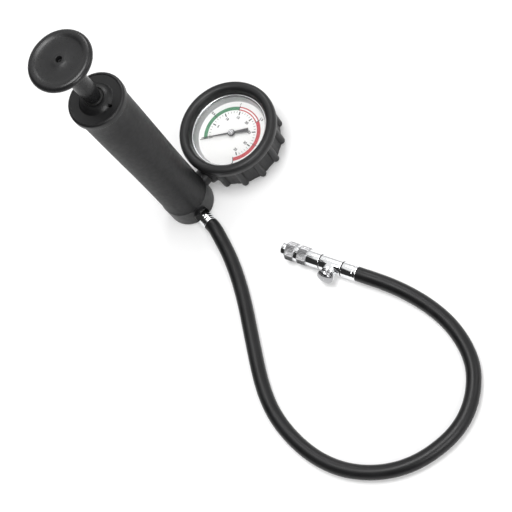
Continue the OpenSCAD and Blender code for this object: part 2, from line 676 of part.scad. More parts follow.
// The link's far eye lies over the lug on the tube's end: that pivot is left open
module link_bar() color("#a8abb0") at_gauge() translate([0, -gear_centres, sector_z + sector_t + link_gap]) {
    start = tail_arm * [cos(tail_angle), sin(tail_angle)];
    finish = tube_ring_r * [cos(link_angle), sin(link_angle)] + [0, gear_centres];
    along = finish - start;
    translate(start) rotate([0, 0, atan2(along[1], along[0])]) linear_extrude(0.5) difference() {
        union() {
            circle(r = 1.1);
            translate([0, -0.6]) square([norm(along), 1.2]);
            translate([norm(along), 0]) circle(r = 1.1);
        }
        circle(r = 0.5 + shaft_gap);
        translate([norm(along), 0]) circle(r = 0.6);
    }
}

// A point on a flat spiral that grows by one pitch a turn
function spiral(r0, pitch, turn) =
    let (r = r0 + pitch * turn) [r * cos(360 * turn), r * sin(360 * turn)];
module hairspring() color("#8d9094") at_gauge() translate([0, 0, sector_z + sector_t + 1.2]) {
    turns = 3;
    steps = 24 * turns;
    pitch = 1.1;
    wide = 0.25;
    inner_r = shaft_r + 0.4;
    linear_extrude(0.8) polygon(concat([for (i = [0:steps]) spiral(inner_r, pitch, turns * i / steps)],
        [for (i = [steps:-1:0]) spiral(inner_r + wide, pitch, turns * i / steps)]));
}

module plate_outline() {
    half = 4;
    low = max(gear_centres + 2.5, -bar_y);
    translate([-half, -low]) square([2 * half, low + posts[0][1]]);
    translate(posts[0]) circle(r = half);
    translate([-post_x, bar_y - foot_r]) square([2 * post_x, 2 * foot_r]);
    for (x = [-post_x, post_x]) translate([x, bar_y]) circle(r = foot_r);
}

module pivot_holes() {
    circle(r = shaft_r + shaft_gap, $fn = 24);
    translate([0, -gear_centres]) circle(r = shaft_r + shaft_gap, $fn = 24);
}

module movement_back_plate() color("#c9a94f") at_gauge() {
    translate([0, 0, back_plate_z]) linear_extrude(plate_th) difference() {
        union() {
            plate_outline();
            translate([block_x + block_l + fit, -5]) square([-block_x - block_l - 1, 10]);
        }
        pivot_holes();
        for (y = [-3, 3]) translate([mount_x, y]) circle(r = 0.9, $fn = 24);
    }
    for (p = posts) translate([p[0], p[1], back_plate_z + plate_th - 0.1])
        cylinder(r = post_r, h = front_plate_z - back_plate_z - plate_th + 0.1, $fn = 24);
}

module movement_front_plate() color("#c9a94f") at_gauge() translate([0, 0, front_plate_z])
    linear_extrude(plate_th) difference() {
        plate_outline();
        pivot_holes();
    }

module movement_screws() color("#a8abb0") at_gauge() for (y = [-3, 3])
    translate([mount_x, y, back_plate_z]) difference() {
        union() {
            translate([0, 0, -2.5]) cylinder(r = 0.8, h = 4, $fn = 24);
            translate([0, 0, plate_th]) cylinder(r = 1.5, h = 1, $fn = 24);
        }
        translate([-2, -0.2, plate_th + 0.6]) cube([4, 0.4, 1]);
    }

// Flattened hollow tube bent round the case, from the socket to its closed free end
module tube_bend(a0, a1) rotate([0, 0, a0]) rotate_extrude(angle = a1 - a0, $fn = 96)
    translate([tube_ring_r, 0]) children();
module tube_section(r) {
    square([2 * r, 4.4], center = true);
    for (y = [-2.2, 2.2]) translate([0, y]) circle(r = r, $fn = 24);
}
module pressure_tube() color("#c9a94f") at_gauge() translate([0, 0, stem_z]) {
    difference() {
        tube_bend(tube_end_angle, tube_start_angle) tube_section(tube_r);
        tube_bend(tube_end_angle + 4, tube_start_angle + 1) tube_section(tube_r - 0.5);
    }
    // Lug under the link
    tube_bend(tube_end_angle - lug_angle, tube_end_angle + 1) square([3.8, 3], center = true);
}

module gauge_socket() color("#c9a94f") at_gauge() {
    half = block_w / 2;
    difference() {
        union() {
            translate([block_x, -half, stem_z - half]) cube([block_l, block_w, block_w]);
            translate([block_x, -half, stem_z - half])
                cube([block_l + block_step, block_w, back_plate_z - stem_z + half]);
            translate([flats_x + 1, 0, stem_z]) rotate([0, 90, 0])
                cylinder(r = shoulder_r, h = block_x - flats_x);
            translate([flats_x, -flats_w / 2, stem_z - flats_w / 2]) cube([4, flats_w, flats_w]);
            along_thread() cylinder(r = stem_r, h = boss_face_x + washer_w - thread_x + 1);
        }
        along_thread() translate([0, 0, -1]) cylinder(r = 2, h = gauge_x - thread_x - tube_ring_r + 2.1);
        // Slot that takes the root of the curved tube, and the drilling that feeds it
        translate([0, 0, stem_z]) tube_bend(tube_start_angle - 10, tube_start_angle + 0.3)
            square([3.2, 7.6], center = true);
        translate([-tube_ring_r - 0.3, 0, stem_z]) rotate([-90, 0, 0])
            cylinder(r = 1, h = tube_ring_r * sin(tube_start_angle) + 0.3, $fn = 24);
        for (y = [-3, 3]) translate([mount_x, y, back_plate_z - 2.7]) cylinder(r = 0.85, h = 4, $fn = 24);
    }
}

module along_thread() translate([thread_x - gauge_x, 0, stem_z]) rotate([0, 90, 0]) children();

module stem_washer() color("#b87333") along_stem(boss_face_x)
    ring_solid(stem_r + 0.05, gauge_boss_r - 0.3, washer_w);

// Hose fitting screwed into the base cap, with a barbed tail inside the ferrule
module pump_fitting() color("#d0d2d5") along_outlet(thread_in_r) difference() {
    union() {
        cylinder(r = spigot_r, h = spigot_out + 1);
        translate([0, 0, spigot_out]) intersection() {
            cylinder(r = 7.3, h = hex_l, $fn = 6);
            turned([[0, 0], [6.6, 0], [7.3, 0.7], [7.3, hex_l - 0.7], [6.6, hex_l], [0, hex_l]]);
        }
        translate([0, 0, spigot_out + hex_l - 0.1]) cylinder(r = tail_r, h = pump_ferrule_l);
    }
    translate([0, 0, -1]) cylinder(r = tail_bore, h = spigot_out + hex_l + pump_ferrule_l + 2);
}

// Crimped ferrule with two rolled grooves
module ferrule(l) turned([[tail_r + 0.1, 0], [ferrule_r - 0.4, 0], [ferrule_r, 0.4], [ferrule_r, 0.3 * l],
    [ferrule_r - 0.4, 0.3 * l + 0.3], [ferrule_r - 0.4, 0.3 * l + 0.9], [ferrule_r, 0.3 * l + 1.2],
    [ferrule_r, 0.65 * l], [ferrule_r - 0.4, 0.65 * l + 0.3], [ferrule_r - 0.4, 0.65 * l + 0.9],
    [ferrule_r, 0.65 * l + 1.2], [ferrule_r, l - 0.5], [ferrule_r - 0.5, l], [tail_r + 0.1, l]]);

module pump_ferrule() color("#d0d2d5") along_outlet(boss_out + hex_l) ferrule(pump_ferrule_l);

module hose() color("#2a2a2c") swept_tube(hose_route, hose_r, hose_sides);

module coupler_ferrule() color("#d0d2d5") along_coupler(0) ferrule(coupler_ferrule_l - 0.1);

module hose_tail() color("#c9a94f") along_coupler(0)
    turned([[tail_bore, 0], [tail_r - 0.4, 0], [tail_r, 2], [tail_r - 0.4, 2.2], [tail_r, 4.4],
        [tail_r - 0.4, 4.6], [tail_r, 6.8], [tail_r, coupler_ferrule_l + tail_seat - 0.2],
        [tail_bore, coupler_ferrule_l + tail_seat - 0.2]]);

module tee_body() color("#d6d8db") difference() {
    union() {
        along_coupler(tee_u0) turned([[0, 0], [coupler_r - 0.4, 0], [coupler_r, 0.4],
            [coupler_r, tee_l - 0.4], [coupler_r - 0.4, tee_l], [0, tee_l]]);
        along_branch(0) turned([[0, 0], [branch_r, 0], [branch_r, branch_l - 0.4],
            [branch_r - 0.4, branch_l], [0, branch_l]]);
    }
    along_coupler(tee_u0 - 1) cylinder(r = line_r, h = tee_l + 2, $fn = 32);
    along_coupler(tee_u0 - 1) cylinder(r = tail_r + 0.1, h = tail_seat + 1, $fn = 32);
    along_coupler(tee_u1 - spigot_l - 0.2) cylinder(r = spigot_r + 0.1, h = 10);
    along_branch(0) cylinder(r = relief_head_r + 0.3, h = branch_l + 1, $fn = 32);
    along_branch(branch_l - relief_spigot_l - 0.1) cylinder(r = relief_spigot_r + 0.1, h = 10);
}

module relief_body() color("#d0d2d5") along_branch(branch_l) difference() {
    union() {
        translate([0, 0, -relief_spigot_l]) cylinder(r = relief_spigot_r, h = relief_spigot_l + 1);
        cylinder(r = 5.7, h = relief_flange, $fn = 6);
        translate([0, 0, relief_flange - 0.1]) cylinder(r = relief_neck_r, h = relief_neck_l + 0.1);
    }
    translate([0, 0, -5]) cylinder(r = relief_bore, h = 20, $fn = 32);
    translate([0, 0, relief_flange]) cylinder(r = 3.4, h = 10);
}

module relief_cap() color("#d6d8db") along_branch(relief_cap_w) difference() {
    turned(concat([[0, 0], [relief_r - 0.5, 0], [relief_r, 0.5]],
        arc(relief_r - 3.4, relief_l - 3.4, 3.4, 0, 60, 5), [[1.6, relief_l], [0, relief_l]]));
    translate([0, 0, -1]) cylinder(r = relief_skirt_r, h = relief_l - relief_roof + 1);
    translate([0, 0, -1]) cylinder(r = relief_stem_r + 0.03, h = relief_l, $fn = 24);
}

module relief_stem() color("#a8abb0") along_branch(branch_l - relief_spigot_l) union() {
    translate([0, 0, -relief_seal_t - 1.6]) cylinder(r = relief_head_r, h = 1.2, $fn = 32);
    translate([0, 0, -1.6]) cylinder(r = relief_stem_r,
        h = relief_cap_w + relief_l - branch_l + relief_spigot_l - 0.2, $fn = 32);
}

module relief_seal() color("#1c1c1e") along_branch(branch_l - relief_spigot_l - relief_seal_t - 0.35)
    ring_solid(relief_stem_r + 0.03, relief_head_r, relief_seal_t);

module relief_spring() color("silver") along_branch(relief_w1)
    coil_spring(2.6, 0.35, 4, relief_cap_w + relief_l - relief_roof - relief_w1 - 0.05);

// Coupler: spigot, smooth body, shoulder, long neck with the mouth and ball holes
module coupler_body() color("#d6d8db") along_coupler(0) difference() {
    turned([[0, tee_u1 - spigot_l], [spigot_r, tee_u1 - spigot_l], [spigot_r, tee_u1],
        [coupler_r - 0.4, tee_u1], [coupler_r, tee_u1 + 0.4], [coupler_r, body_u1 - 0.3],
        [coupler_r - 0.3, body_u1], [nose_r, body_u1],
        [nose_r, nose_u1 - 1], [nose_r - 0.9, nose_u1], [0, nose_u1]]);
    translate([0, 0, mouth_u0 - 0.1]) cylinder(r = mouth_r, h = mouth_l + 1);
    translate([0, 0, valve_u]) cylinder(r = valve_chamber_r, h = nose_u1);
    translate([0, 0, mouth_u0 - seal_t]) cylinder(r = groove_r, h = seal_t);
    translate([0, 0, tee_u1 - spigot_l - 1]) cylinder(r = line_r, h = nose_u1, $fn = 32);
    for (i = [0:ball_count - 1]) rotate([0, 0, 360 * i / ball_count]) translate([mouth_r - 1, 0, ball_u])
        rotate([0, 90, 0]) cylinder(r = ball_r + 0.05, h = nose_r - mouth_r + 2, $fn = 24);
}

module knurled_collar() color("#b5b8bc") along_coupler(body_u1)
    knurled_ring(nose_r + 0.05, collar_r, collar_l);

module knurled_sleeve() color("#b5b8bc") along_coupler(sleeve_u0) difference() {
    knurled_ring(sleeve_wall_r, sleeve_r, sleeve_l);
    translate([0, 0, -1]) cylinder(r = spring_room_r, h = sleeve_l - 2.4);
}

module sleeve_spring() color("silver") along_coupler(collar_u1)
    coil_spring(nose_r + 0.65, 0.35, 4, sleeve_gap + sleeve_l - 3.45);

module lock_balls() color("silver") along_coupler(ball_u) for (i = [0:ball_count - 1])
    rotate([0, 0, 360 * i / ball_count]) translate([mouth_r + ball_r + 0.05, 0, 0])
        sphere(r = ball_r, $fn = 24);

module mouth_seal() color("#1c1c1e") along_coupler(mouth_u0 - seal_t)
    turned([[2.2, 0], [groove_r - 0.05, 0], [groove_r - 0.05, seal_t - fit], [2.8, seal_t - fit],
        [2.2, seal_t - 0.6]]);

module mouth_valve() color("#c9a94f") along_coupler(mouth_u0 - seal_t - 0.2) union() {
    translate([0, 0, -2]) cylinder(r = valve_head_r, h = 2, $fn = 48);
    translate([0, 0, -6]) cylinder(r = 1.2, h = 6 + seal_t, $fn = 32);
}

module mouth_spring() color("silver") along_coupler(valve_u)
    coil_spring(2, 0.3, 5, valve_chamber_l - 2.25);

base_cap();
barrel_tube();
grip_sleeve();
top_cap();
rod_bush();
wiper_ring();
barrel_seals();
valve_plate();
check_disc();
check_spring();
plunger_rod();
buffer_ring();
piston_head();
piston_cup();
piston_washer();
piston_nut();
knob();
knob_screw();
gauge_boot();
gauge_case();
gauge_bezel();
gauge_lens();
lens_spacer();
dial_plate();
pointer();
pointer_hub();
pinion_shaft();
sector_gear();
link_bar();
hairspring();
movement_back_plate();
movement_front_plate();
movement_screws();
pressure_tube();
gauge_socket();
stem_washer();
pump_fitting();
pump_ferrule();
hose();
coupler_ferrule();
hose_tail();
tee_body();
relief_body();
relief_cap();
relief_stem();
relief_spring();
relief_seal();
coupler_body();
knurled_collar();
knurled_sleeve();
sleeve_spring();
lock_balls();
mouth_seal();
mouth_valve();
mouth_spring();
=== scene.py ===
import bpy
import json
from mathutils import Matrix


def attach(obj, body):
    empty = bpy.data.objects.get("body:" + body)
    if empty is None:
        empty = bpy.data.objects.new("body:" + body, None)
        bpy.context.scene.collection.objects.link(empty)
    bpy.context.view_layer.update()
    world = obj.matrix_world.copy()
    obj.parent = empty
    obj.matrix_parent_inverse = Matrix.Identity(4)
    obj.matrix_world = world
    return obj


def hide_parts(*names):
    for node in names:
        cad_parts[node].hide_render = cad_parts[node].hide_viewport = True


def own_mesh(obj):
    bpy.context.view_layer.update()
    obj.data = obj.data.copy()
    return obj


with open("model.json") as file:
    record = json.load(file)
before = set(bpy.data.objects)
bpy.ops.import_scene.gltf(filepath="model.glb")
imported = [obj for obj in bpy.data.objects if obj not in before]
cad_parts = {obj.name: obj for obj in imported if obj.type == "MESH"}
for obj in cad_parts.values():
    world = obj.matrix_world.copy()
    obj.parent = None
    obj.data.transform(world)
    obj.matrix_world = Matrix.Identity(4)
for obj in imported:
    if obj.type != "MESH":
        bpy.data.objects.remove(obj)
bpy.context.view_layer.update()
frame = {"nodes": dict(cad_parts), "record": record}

# Looks of the radiator pressure tester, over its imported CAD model. Sizes are in millimetres
# until a mesh is made, and the frame is the CAD's: the pump on the origin, +Z up.
import json
import math

import bmesh
import bpy
from mathutils import Matrix, Vector

MM = 0.001

# Sizes of the CAD model
GRIP_Z0, GRIP_TOP = 20.6, 193.5
BARREL_R, COLLAR_R, COLLAR_TOP = 17.0, 18.6, 28.4
CAP_R, CAP_TOP, BOSS_TOP, PLUG_Z = 23.3, 199.5, 203.1, 182.1
BOSS_R, BREATHER_ANGLE = 11.3, -79.0
ROD_R = 4.0
KNOB_Z, KNOB_TOP, KNOB_R = 213.1, 264.1, 25.5
SOCKET_L, SCREW_SEAT = 32.0, 257.1
GAUGE_X, STEM_Z = 65.0, 12.7
BOOT_R, BOOT_H, RIB_COUNT = 43.1, 38.6, 14
CASE_R, BEZEL_R = 33.5, 34.6
DIAL_TOP, LENS_Z, LENS_TOP, BEZEL_TOP = 22.7, 28.0, 30.0, 31.4
HUB_Z = DIAL_TOP + 1.9
OUTLET_ANGLE, OUTLET_Z = -98.0, 10.0
BOSS_OUT, THREAD_R = 22.5, 17.8
HOSE_R, FERRULE_R, TAIL_R = 6.0, 6.7, 3.0
HEX_L, PUMP_FERRULE_L, COUPLER_FERRULE_L = 5.0, 7.0, 13.0
COUPLER_END, COUPLER_ANGLE = (37.5, -167.6, 8.0), 107.4
COUPLER_R = 6.5
TEE_U0, TEE_MID, TEE_U1 = 13.0, 23.5, 34.0
COLLAR_U1, SLEEVE_U1, NOSE_U1 = 53.9, 65.1, 69.7
MOUTH_U0, VALVE_U = 57.7, 44.3
NOSE_R, MOUTH_R, LINE_R = 5.5, 4.0, 2.1
BRANCH_L, RELIEF_STEM_W = 8.6, 5.2
ZERO_ANGLE = 135.0

# Sizes that follow the photograph more closely than the CAD model's do
BREATHER_R = 1.5
NECK_TIP_Z = 204.2
SKIRT_R, RIB_R, RIB_OUT = 37.4, 3.1, 41.2
BODY_U1, SLEEVE_U0 = 45.4, 57.2
BRANCH_R, BRANCH_TILT = 6.0, 17.0
RELIEF_W1, RELIEF_CAP_W, RELIEF_R = 10.0, 11.5, 6.9

# Sizes of the scene's own details
CAP_RIM_R, SKIRT_FOOT_R = 1.9, 2.8
HEX_HALF_W, BRANCH_BORE_R = 6.33, 2.5
SEAM_R0, SEAM_R1, SEAM_W = 5.82, 6.3, 0.8
COLLAR_KNURL_R, SLEEVE_KNURL_R, KNURL_TEETH, KNURL_DEPTH = 7.6, 7.8, 40, 0.45
KNURL_ROUND, KNURL_ALONG = 28.0, 3400.0
COIL_STEPS = 20
SMOOTH_ANGLE = 38

# Degrees of the dial for half a bar and for one psi, and the turn of its numbers
HALF_BAR_ANGLE, PSI_ANGLE = 54.0, 270.0 / 36.26
NUMBER_TURN = -90

# The floor's own light to the camera and in reflections, which keeps it near white
FLOOR_GLOW = 0.14

# The camera, fitted to the photograph, and its focal length in pixels of a 512 pixel image
CAMERA_PLACE = (-0.0969, -0.7487, 1.2024)
CAMERA_RIGHT, CAMERA_UP = (0.65, -0.6852, -0.3287), (0.7568, 0.5443, 0.362)
FOCAL_PX, IMAGE_PX, SENSOR_W = 1658.66, 512, 36.0


# ---------------------------------------------------------------- placing and meshes
def turn(axis, degrees):
    return Matrix.Rotation(math.radians(degrees), 4, axis)


def shift(x, y, z):
    return Matrix.Translation((x * MM, y * MM, z * MM))


def at_gauge(z=0.0):
    """On the gauge's middle line, at height z."""
    return shift(GAUGE_X, 0, z)


def along_outlet(r):
    """On the hose port's middle line, r from the pump's, with Z outwards."""
    return turn("Z", OUTLET_ANGLE) @ shift(r, 0, OUTLET_Z) @ turn("Y", 90)


def along_coupler(u):
    """On the coupler's middle line, u past the hose's end, with Z towards the mouth."""
    return shift(*COUPLER_END) @ turn("Z", COUPLER_ANGLE) @ turn("Y", 90) @ shift(0, 0, u)


def along_branch(w):
    """On the relief branch's middle line, w from the tee's, with Z outwards."""
    return along_coupler(TEE_MID) @ turn("Z", BRANCH_TILT) @ turn("X", -90) @ shift(0, 0, w)


def finish_mesh(name, mesh, material, smooth_angle, place):
    mesh.materials.append(material)
    mesh.shade_smooth()
    mesh.set_sharp_from_angle(angle=math.radians(smooth_angle))
    obj = bpy.data.objects.new(name, mesh)
    bpy.context.scene.collection.objects.link(obj)
    obj.matrix_world = place
    return obj


def solid(name, verts, faces, material, smooth_angle=SMOOTH_ANGLE, place=Matrix.Identity(4)):
    """A mesh from points in millimetres, welded and with its faces turned outwards."""
    mesh = bpy.data.meshes.new(name)
    mesh.from_pydata([Vector(v) * MM for v in verts], [], faces)
    bm = bmesh.new()
    bm.from_mesh(mesh)
    bmesh.ops.remove_doubles(bm, verts=bm.verts, dist=1e-7)
    bmesh.ops.recalc_face_normals(bm, faces=bm.faces)
    bm.to_mesh(mesh)
    bm.free()
    return finish_mesh(name, mesh, material, smooth_angle, place)


def rounded(points, closed, steps=5):
    """Points of a profile, where a third number rounds that corner to that radius."""
    out = []
    count = len(points)
    for i, p in enumerate(points):
        here = Vector(p[:2])
        if len(p) < 3 or (not closed and i in (0, count - 1)):
            out.append(here)
            continue
        before = Vector(points[i - 1][:2]) - here
        after = Vector(points[(i + 1) % count][:2]) - here
        half = before.angle(after) / 2
        cut = min(p[2] / math.tan(half), 0.48 * before.length, 0.48 * after.length)
        start = here + before.normalized() * cut
        end = here + after.normalized() * cut
        for k in range(steps + 1):
            t = k / steps
            out.append(start * (1 - t) ** 2 + here * 2 * t * (1 - t) + end * t * t)
    return out


def spline(points, per_span):
    """A smooth line through points of any dimension."""
    pts = [Vector(p) for p in points]
    pts = [2 * pts[0] - pts[1]] + pts + [2 * pts[-1] - pts[-2]]
    out = []
    for i in range(1, len(pts) - 2):
        a, b, c, d = pts[i - 1 : i + 3]
        for k in range(per_span):
            t = k / per_span
            out.append(
                0.5 * (2 * b + (c - a) * t + (2 * a - 5 * b + 4 * c - d) * t * t
                       + (3 * b - a - 3 * c + d) * t ** 3)
            )
    out.append(pts[-2])
    return out


def lathe(name, profile, material, place=Matrix.Identity(4), closed=True, segs=96,
          reshape=None, smooth_angle=SMOOTH_ANGLE):
    """A profile of (radius, height) points turned round Z. reshape moves a point's radius."""
    pts = rounded(profile, closed)
    count = len(pts)
    verts = []
    for k in range(segs):
        a = 2 * math.pi * k / segs
        for p in pts:
            r = reshape(a, p[0], p[1]) if reshape else p[0]
            verts.append((r * math.cos(a), r * math.sin(a), p[1]))
    faces = []
    spans = count if closed else count - 1
    for k in range(segs):
        this, other = k * count, (k + 1) % segs * count
        for j in range(spans):
            n = (j + 1) % count
            faces.append((this + j, this + n, other + n, other + j))
    return solid(name, verts, faces, material, smooth_angle, place)


def prism(name, outline, z0, z1, material, place, bevel):
    """An outline raised from z0 to z1, with its edges bevelled."""
    count = len(outline)
    verts = [(x, y, z0) for x, y in outline] + [(x, y, z1) for x, y in outline]
    faces = [tuple(range(count)), tuple(range(count, 2 * count))]
    faces += [(i, (i + 1) % count, count + (i + 1) % count, count + i) for i in range(count)]
    return edge_bevel(solid(name, verts, faces, material, place=place), bevel)


def edge_bevel(obj, width, angle=40, segments=2):
    mod = obj.modifiers.new("edges", "BEVEL")
    mod.width = width * MM
    mod.segments = segments
    mod.limit_method = "ANGLE"
    mod.angle_limit = math.radians(angle)
    mod.harden_normals = False
    return obj


def combine(obj, cutter, operation):
    """Applies a boolean between two meshes, and drops the second."""
    mod = obj.modifiers.new("cut", "BOOLEAN")
    mod.operation = operation
    mod.object = cutter
    mod.solver = "EXACT"
    apply_modifiers(obj)
    bpy.data.objects.remove(cutter)
    return obj


def apply_modifiers(obj):
    """Puts what the modifiers make of a mesh in its place."""
    graph = bpy.context.evaluated_depsgraph_get()
    mesh = bpy.data.meshes.new_from_object(obj.evaluated_get(graph))
    obj.modifiers.clear()
    obj.data = mesh
    mesh.shade_smooth()
    mesh.set_sharp_from_angle(angle=math.radians(SMOOTH_ANGLE))


def tube(name, path, radius, sides, material, body_uv=False):
    """A closed round tube along points. With body_uv, its UV map holds its girth and length."""
    verts, faces = [], []
    pts = [Vector(p) for p in path]
    side = None
    run = 0.0
    runs = []
    for i, p in enumerate(pts):
        heading = (pts[min(i + 1, len(pts) - 1)] - pts[max(i - 1, 0)]).normalized()
        if side is None:
            side = heading.cross(Vector((0, 0, 1)))
            if side.length < 1e-6:
                side = heading.cross(Vector((1, 0, 0)))
        side = (side - heading * side.dot(heading)).normalized()
        up = side.cross(heading)
        if i:
            run += (p - pts[i - 1]).length
        runs.append(run)
        for k in range(sides):
            a = 2 * math.pi * k / sides
            verts.append(p + radius * (math.cos(a) * side + math.sin(a) * up))
    for i in range(len(pts) - 1):
        for k in range(sides):
            n = (k + 1) % sides
            faces.append((i * sides + k, i * sides + n, (i + 1) * sides + n, (i + 1) * sides + k))
    faces.append(tuple(range(sides)))
    faces.append(tuple(range((len(pts) - 1) * sides, len(pts) * sides)))
    obj = solid(name, verts, faces, material, 60)
    if body_uv:
        layer = obj.data.uv_layers.new(name="length")
        for poly in obj.data.polygons:
            ring = [obj.data.loops[l].vertex_index for l in poly.loop_indices]
            wraps = max(v % sides for v in ring) == sides - 1 and min(v % sides for v in ring) == 0
            for l, v in zip(poly.loop_indices, ring):
                k = v % sides
                if wraps and k == 0 and len(ring) == 4:
                    k = sides
                layer.data[l].uv = (k / sides, runs[v // sides] * MM)
    return obj


# ---------------------------------------------------------------- materials
def nodes_of(mat):
    mat.use_nodes = True
    tree = mat.node_tree
    return tree, tree.nodes["Principled BSDF"]


def feed(tree, socket, value):
    """Links another node's output to a socket, or sets the socket to a plain value."""
    if isinstance(value, bpy.types.NodeSocket):
        tree.links.new(value, socket)
    else:
        socket.default_value = value


def math_node(tree, operation, *values):
    n = tree.nodes.new("ShaderNodeMath")
    n.operation = operation
    for socket, value in zip(n.inputs, values):
        feed(tree, socket, value)
    return n.outputs[0]


def mix_colour(tree, factor, a, b, blend="MIX"):
    n = tree.nodes.new("ShaderNodeMix")
    n.data_type = "RGBA"
    n.blend_type = blend
    for socket, value in ((n.inputs["Factor"], factor), (n.inputs[6], a), (n.inputs[7], b)):
        feed(tree, socket, value)
    return n.outputs[2]


def noise(tree, coords, scale, detail=3.0, rough=0.55):
    n = tree.nodes.new("ShaderNodeTexNoise")
    n.inputs["Scale"].default_value = scale
    n.inputs["Detail"].default_value = detail
    n.inputs["Roughness"].default_value = rough
    tree.links.new(coords, n.inputs["Vector"])
    return n.outputs["Fac"]


def mapped(tree, coords, scale):
    m = tree.nodes.new("ShaderNodeMapping")
    m.inputs["Scale"].default_value = scale
    tree.links.new(coords, m.inputs["Vector"])
    return m.outputs["Vector"]


def ramp(tree, fac, stops):
    r = tree.nodes.new("ShaderNodeValToRGB")
    r.color_ramp.elements[0].position = stops[0][0]
    r.color_ramp.elements[0].color = (*stops[0][1], 1)
    r.color_ramp.elements[1].position = stops[-1][0]
    r.color_ramp.elements[1].color = (*stops[-1][1], 1)
    for pos, col in stops[1:-1]:
        r.color_ramp.elements.new(pos).color = (*col, 1)
    tree.links.new(fac, r.inputs["Fac"])
    return r.outputs["Color"]


def between(tree, fac, low, high):
    """A noise value spread over low to high."""
    m = tree.nodes.new("ShaderNodeMapRange")
    m.inputs["From Min"].default_value = 0.3
    m.inputs["From Max"].default_value = 0.7
    m.inputs["To Min"].default_value = low
    m.inputs["To Max"].default_value = high
    tree.links.new(fac, m.inputs["Value"])
    return m.outputs["Result"]


def bump(tree, height, distance, strength, normal=None):
    b = tree.nodes.new("ShaderNodeBump")
    b.inputs["Distance"].default_value = distance
    b.inputs["Strength"].default_value = strength
    tree.links.new(height, b.inputs["Height"])
    if normal is not None:
        tree.links.new(normal, b.inputs["Normal"])
    return b.outputs["Normal"]


def shade(c, k):
    return tuple(min(1.0, v * k) for v in c)


def moulded(name, colour, rough, grain=2200.0, relief=0.00004, spec=0.4):
    """Moulded plastic or rubber: fine spark-eroded grain, soft blotches and a few rubbed spots."""
    mat = bpy.data.materials.new(name)
    tree, bsdf = nodes_of(mat)
    coords = tree.nodes.new("ShaderNodeTexCoord").outputs["Object"]
    fine = noise(tree, coords, grain, 2.0)
    broad = noise(tree, coords, 45.0, 4.0, 0.6)
    rubbed = noise(tree, coords, 260.0, 5.0, 0.7)
    blotch = 0.12
    col = ramp(tree, broad, [(0.3, shade(colour, 1 - blotch)), (0.7, shade(colour, 1 + blotch))])
    dust = ramp(tree, rubbed, [(0.62, (0, 0, 0)), (0.8, (0.008, 0.008, 0.009))])
    tree.links.new(mix_colour(tree, 1.0, col, dust, "SCREEN"), bsdf.inputs["Base Color"])
    tree.links.new(between(tree, rubbed, rough[0], rough[1]), bsdf.inputs["Roughness"])
    soft = bump(tree, broad, 0.0002, 0.25)
    tree.links.new(bump(tree, fine, relief, 0.6, soft), bsdf.inputs["Normal"])
    bsdf.inputs["Specular IOR Level"].default_value = spec
    return mat


def metal(name, colour, rough, stretch=(1, 1, 1), grain=900.0, relief=0.00001, tint=0.06):
    """Bare or plated metal: fine tool marks along one direction and slight changes of gloss."""
    mat = bpy.data.materials.new(name)
    tree, bsdf = nodes_of(mat)
    coords = tree.nodes.new("ShaderNodeTexCoord").outputs["Object"]
    marks = noise(tree, mapped(tree, coords, stretch), grain, 4.0, 0.6)
    broad = noise(tree, coords, 120.0, 3.0, 0.6)
    col = ramp(tree, broad, [(0.3, shade(colour, 1 - tint)), (0.7, shade(colour, 1 + tint))])
    tree.links.new(col, bsdf.inputs["Base Color"])
    bsdf.inputs["Metallic"].default_value = 1.0
    tree.links.new(between(tree, marks, rough[0], rough[1]), bsdf.inputs["Roughness"])
    tree.links.new(bump(tree, marks, relief, 0.5), bsdf.inputs["Normal"])
    return mat


def ink(name, colour, rough=0.45, spread=0.06):
    """Printed ink or paint, with slight changes of tone and gloss."""
    mat = bpy.data.materials.new(name)
    tree, bsdf = nodes_of(mat)
    coords = tree.nodes.new("ShaderNodeTexCoord").outputs["Object"]
    spots = noise(tree, coords, 1500.0, 3.0)
    col = ramp(tree, spots, [(0.3, shade(colour, 1 - spread)), (0.7, shade(colour, 1 + spread))])
    tree.links.new(col, bsdf.inputs["Base Color"])
    tree.links.new(between(tree, spots, rough - 0.05, rough + 0.08), bsdf.inputs["Roughness"])
    return mat


def hose_rubber():
    """Extruded rubber with the faint wrap marks of the cloth it was cured in."""
    mat = bpy.data.materials.new("hose_rubber")
    tree, bsdf = nodes_of(mat)
    tex = tree.nodes.new("ShaderNodeTexCoord")
    uv, coords = tex.outputs["UV"], tex.outputs["Object"]
    wrap = tree.nodes.new("ShaderNodeTexWave")
    wrap.wave_type = "BANDS"
    wrap.bands_direction = "Y"
    wrap.inputs["Scale"].default_value = 160.0
    wrap.inputs["Distortion"].default_value = 0.6
    wrap.inputs["Detail"].default_value = 2.0
    skew = tree.nodes.new("ShaderNodeMapping")
    skew.inputs["Rotation"].default_value = (0, 0, math.radians(1.2))
    tree.links.new(uv, skew.inputs["Vector"])
    tree.links.new(skew.outputs["Vector"], wrap.inputs["Vector"])
    fine = noise(tree, coords, 1800.0, 3.0)
    broad = noise(tree, coords, 60.0, 4.0, 0.65)
    black = (0.0075, 0.0075, 0.008)
    col = ramp(tree, broad, [(0.3, shade(black, 0.8)), (0.72, shade(black, 1.35))])
    tree.links.new(col, bsdf.inputs["Base Color"])
    tree.links.new(between(tree, broad, 0.3, 0.44), bsdf.inputs["Roughness"])
    soft = bump(tree, wrap.outputs["Fac"], 0.00005, 0.35)
    tree.links.new(bump(tree, fine, 0.00003, 0.5, soft), bsdf.inputs["Normal"])
    bsdf.inputs["Specular IOR Level"].default_value = 0.28
    return mat


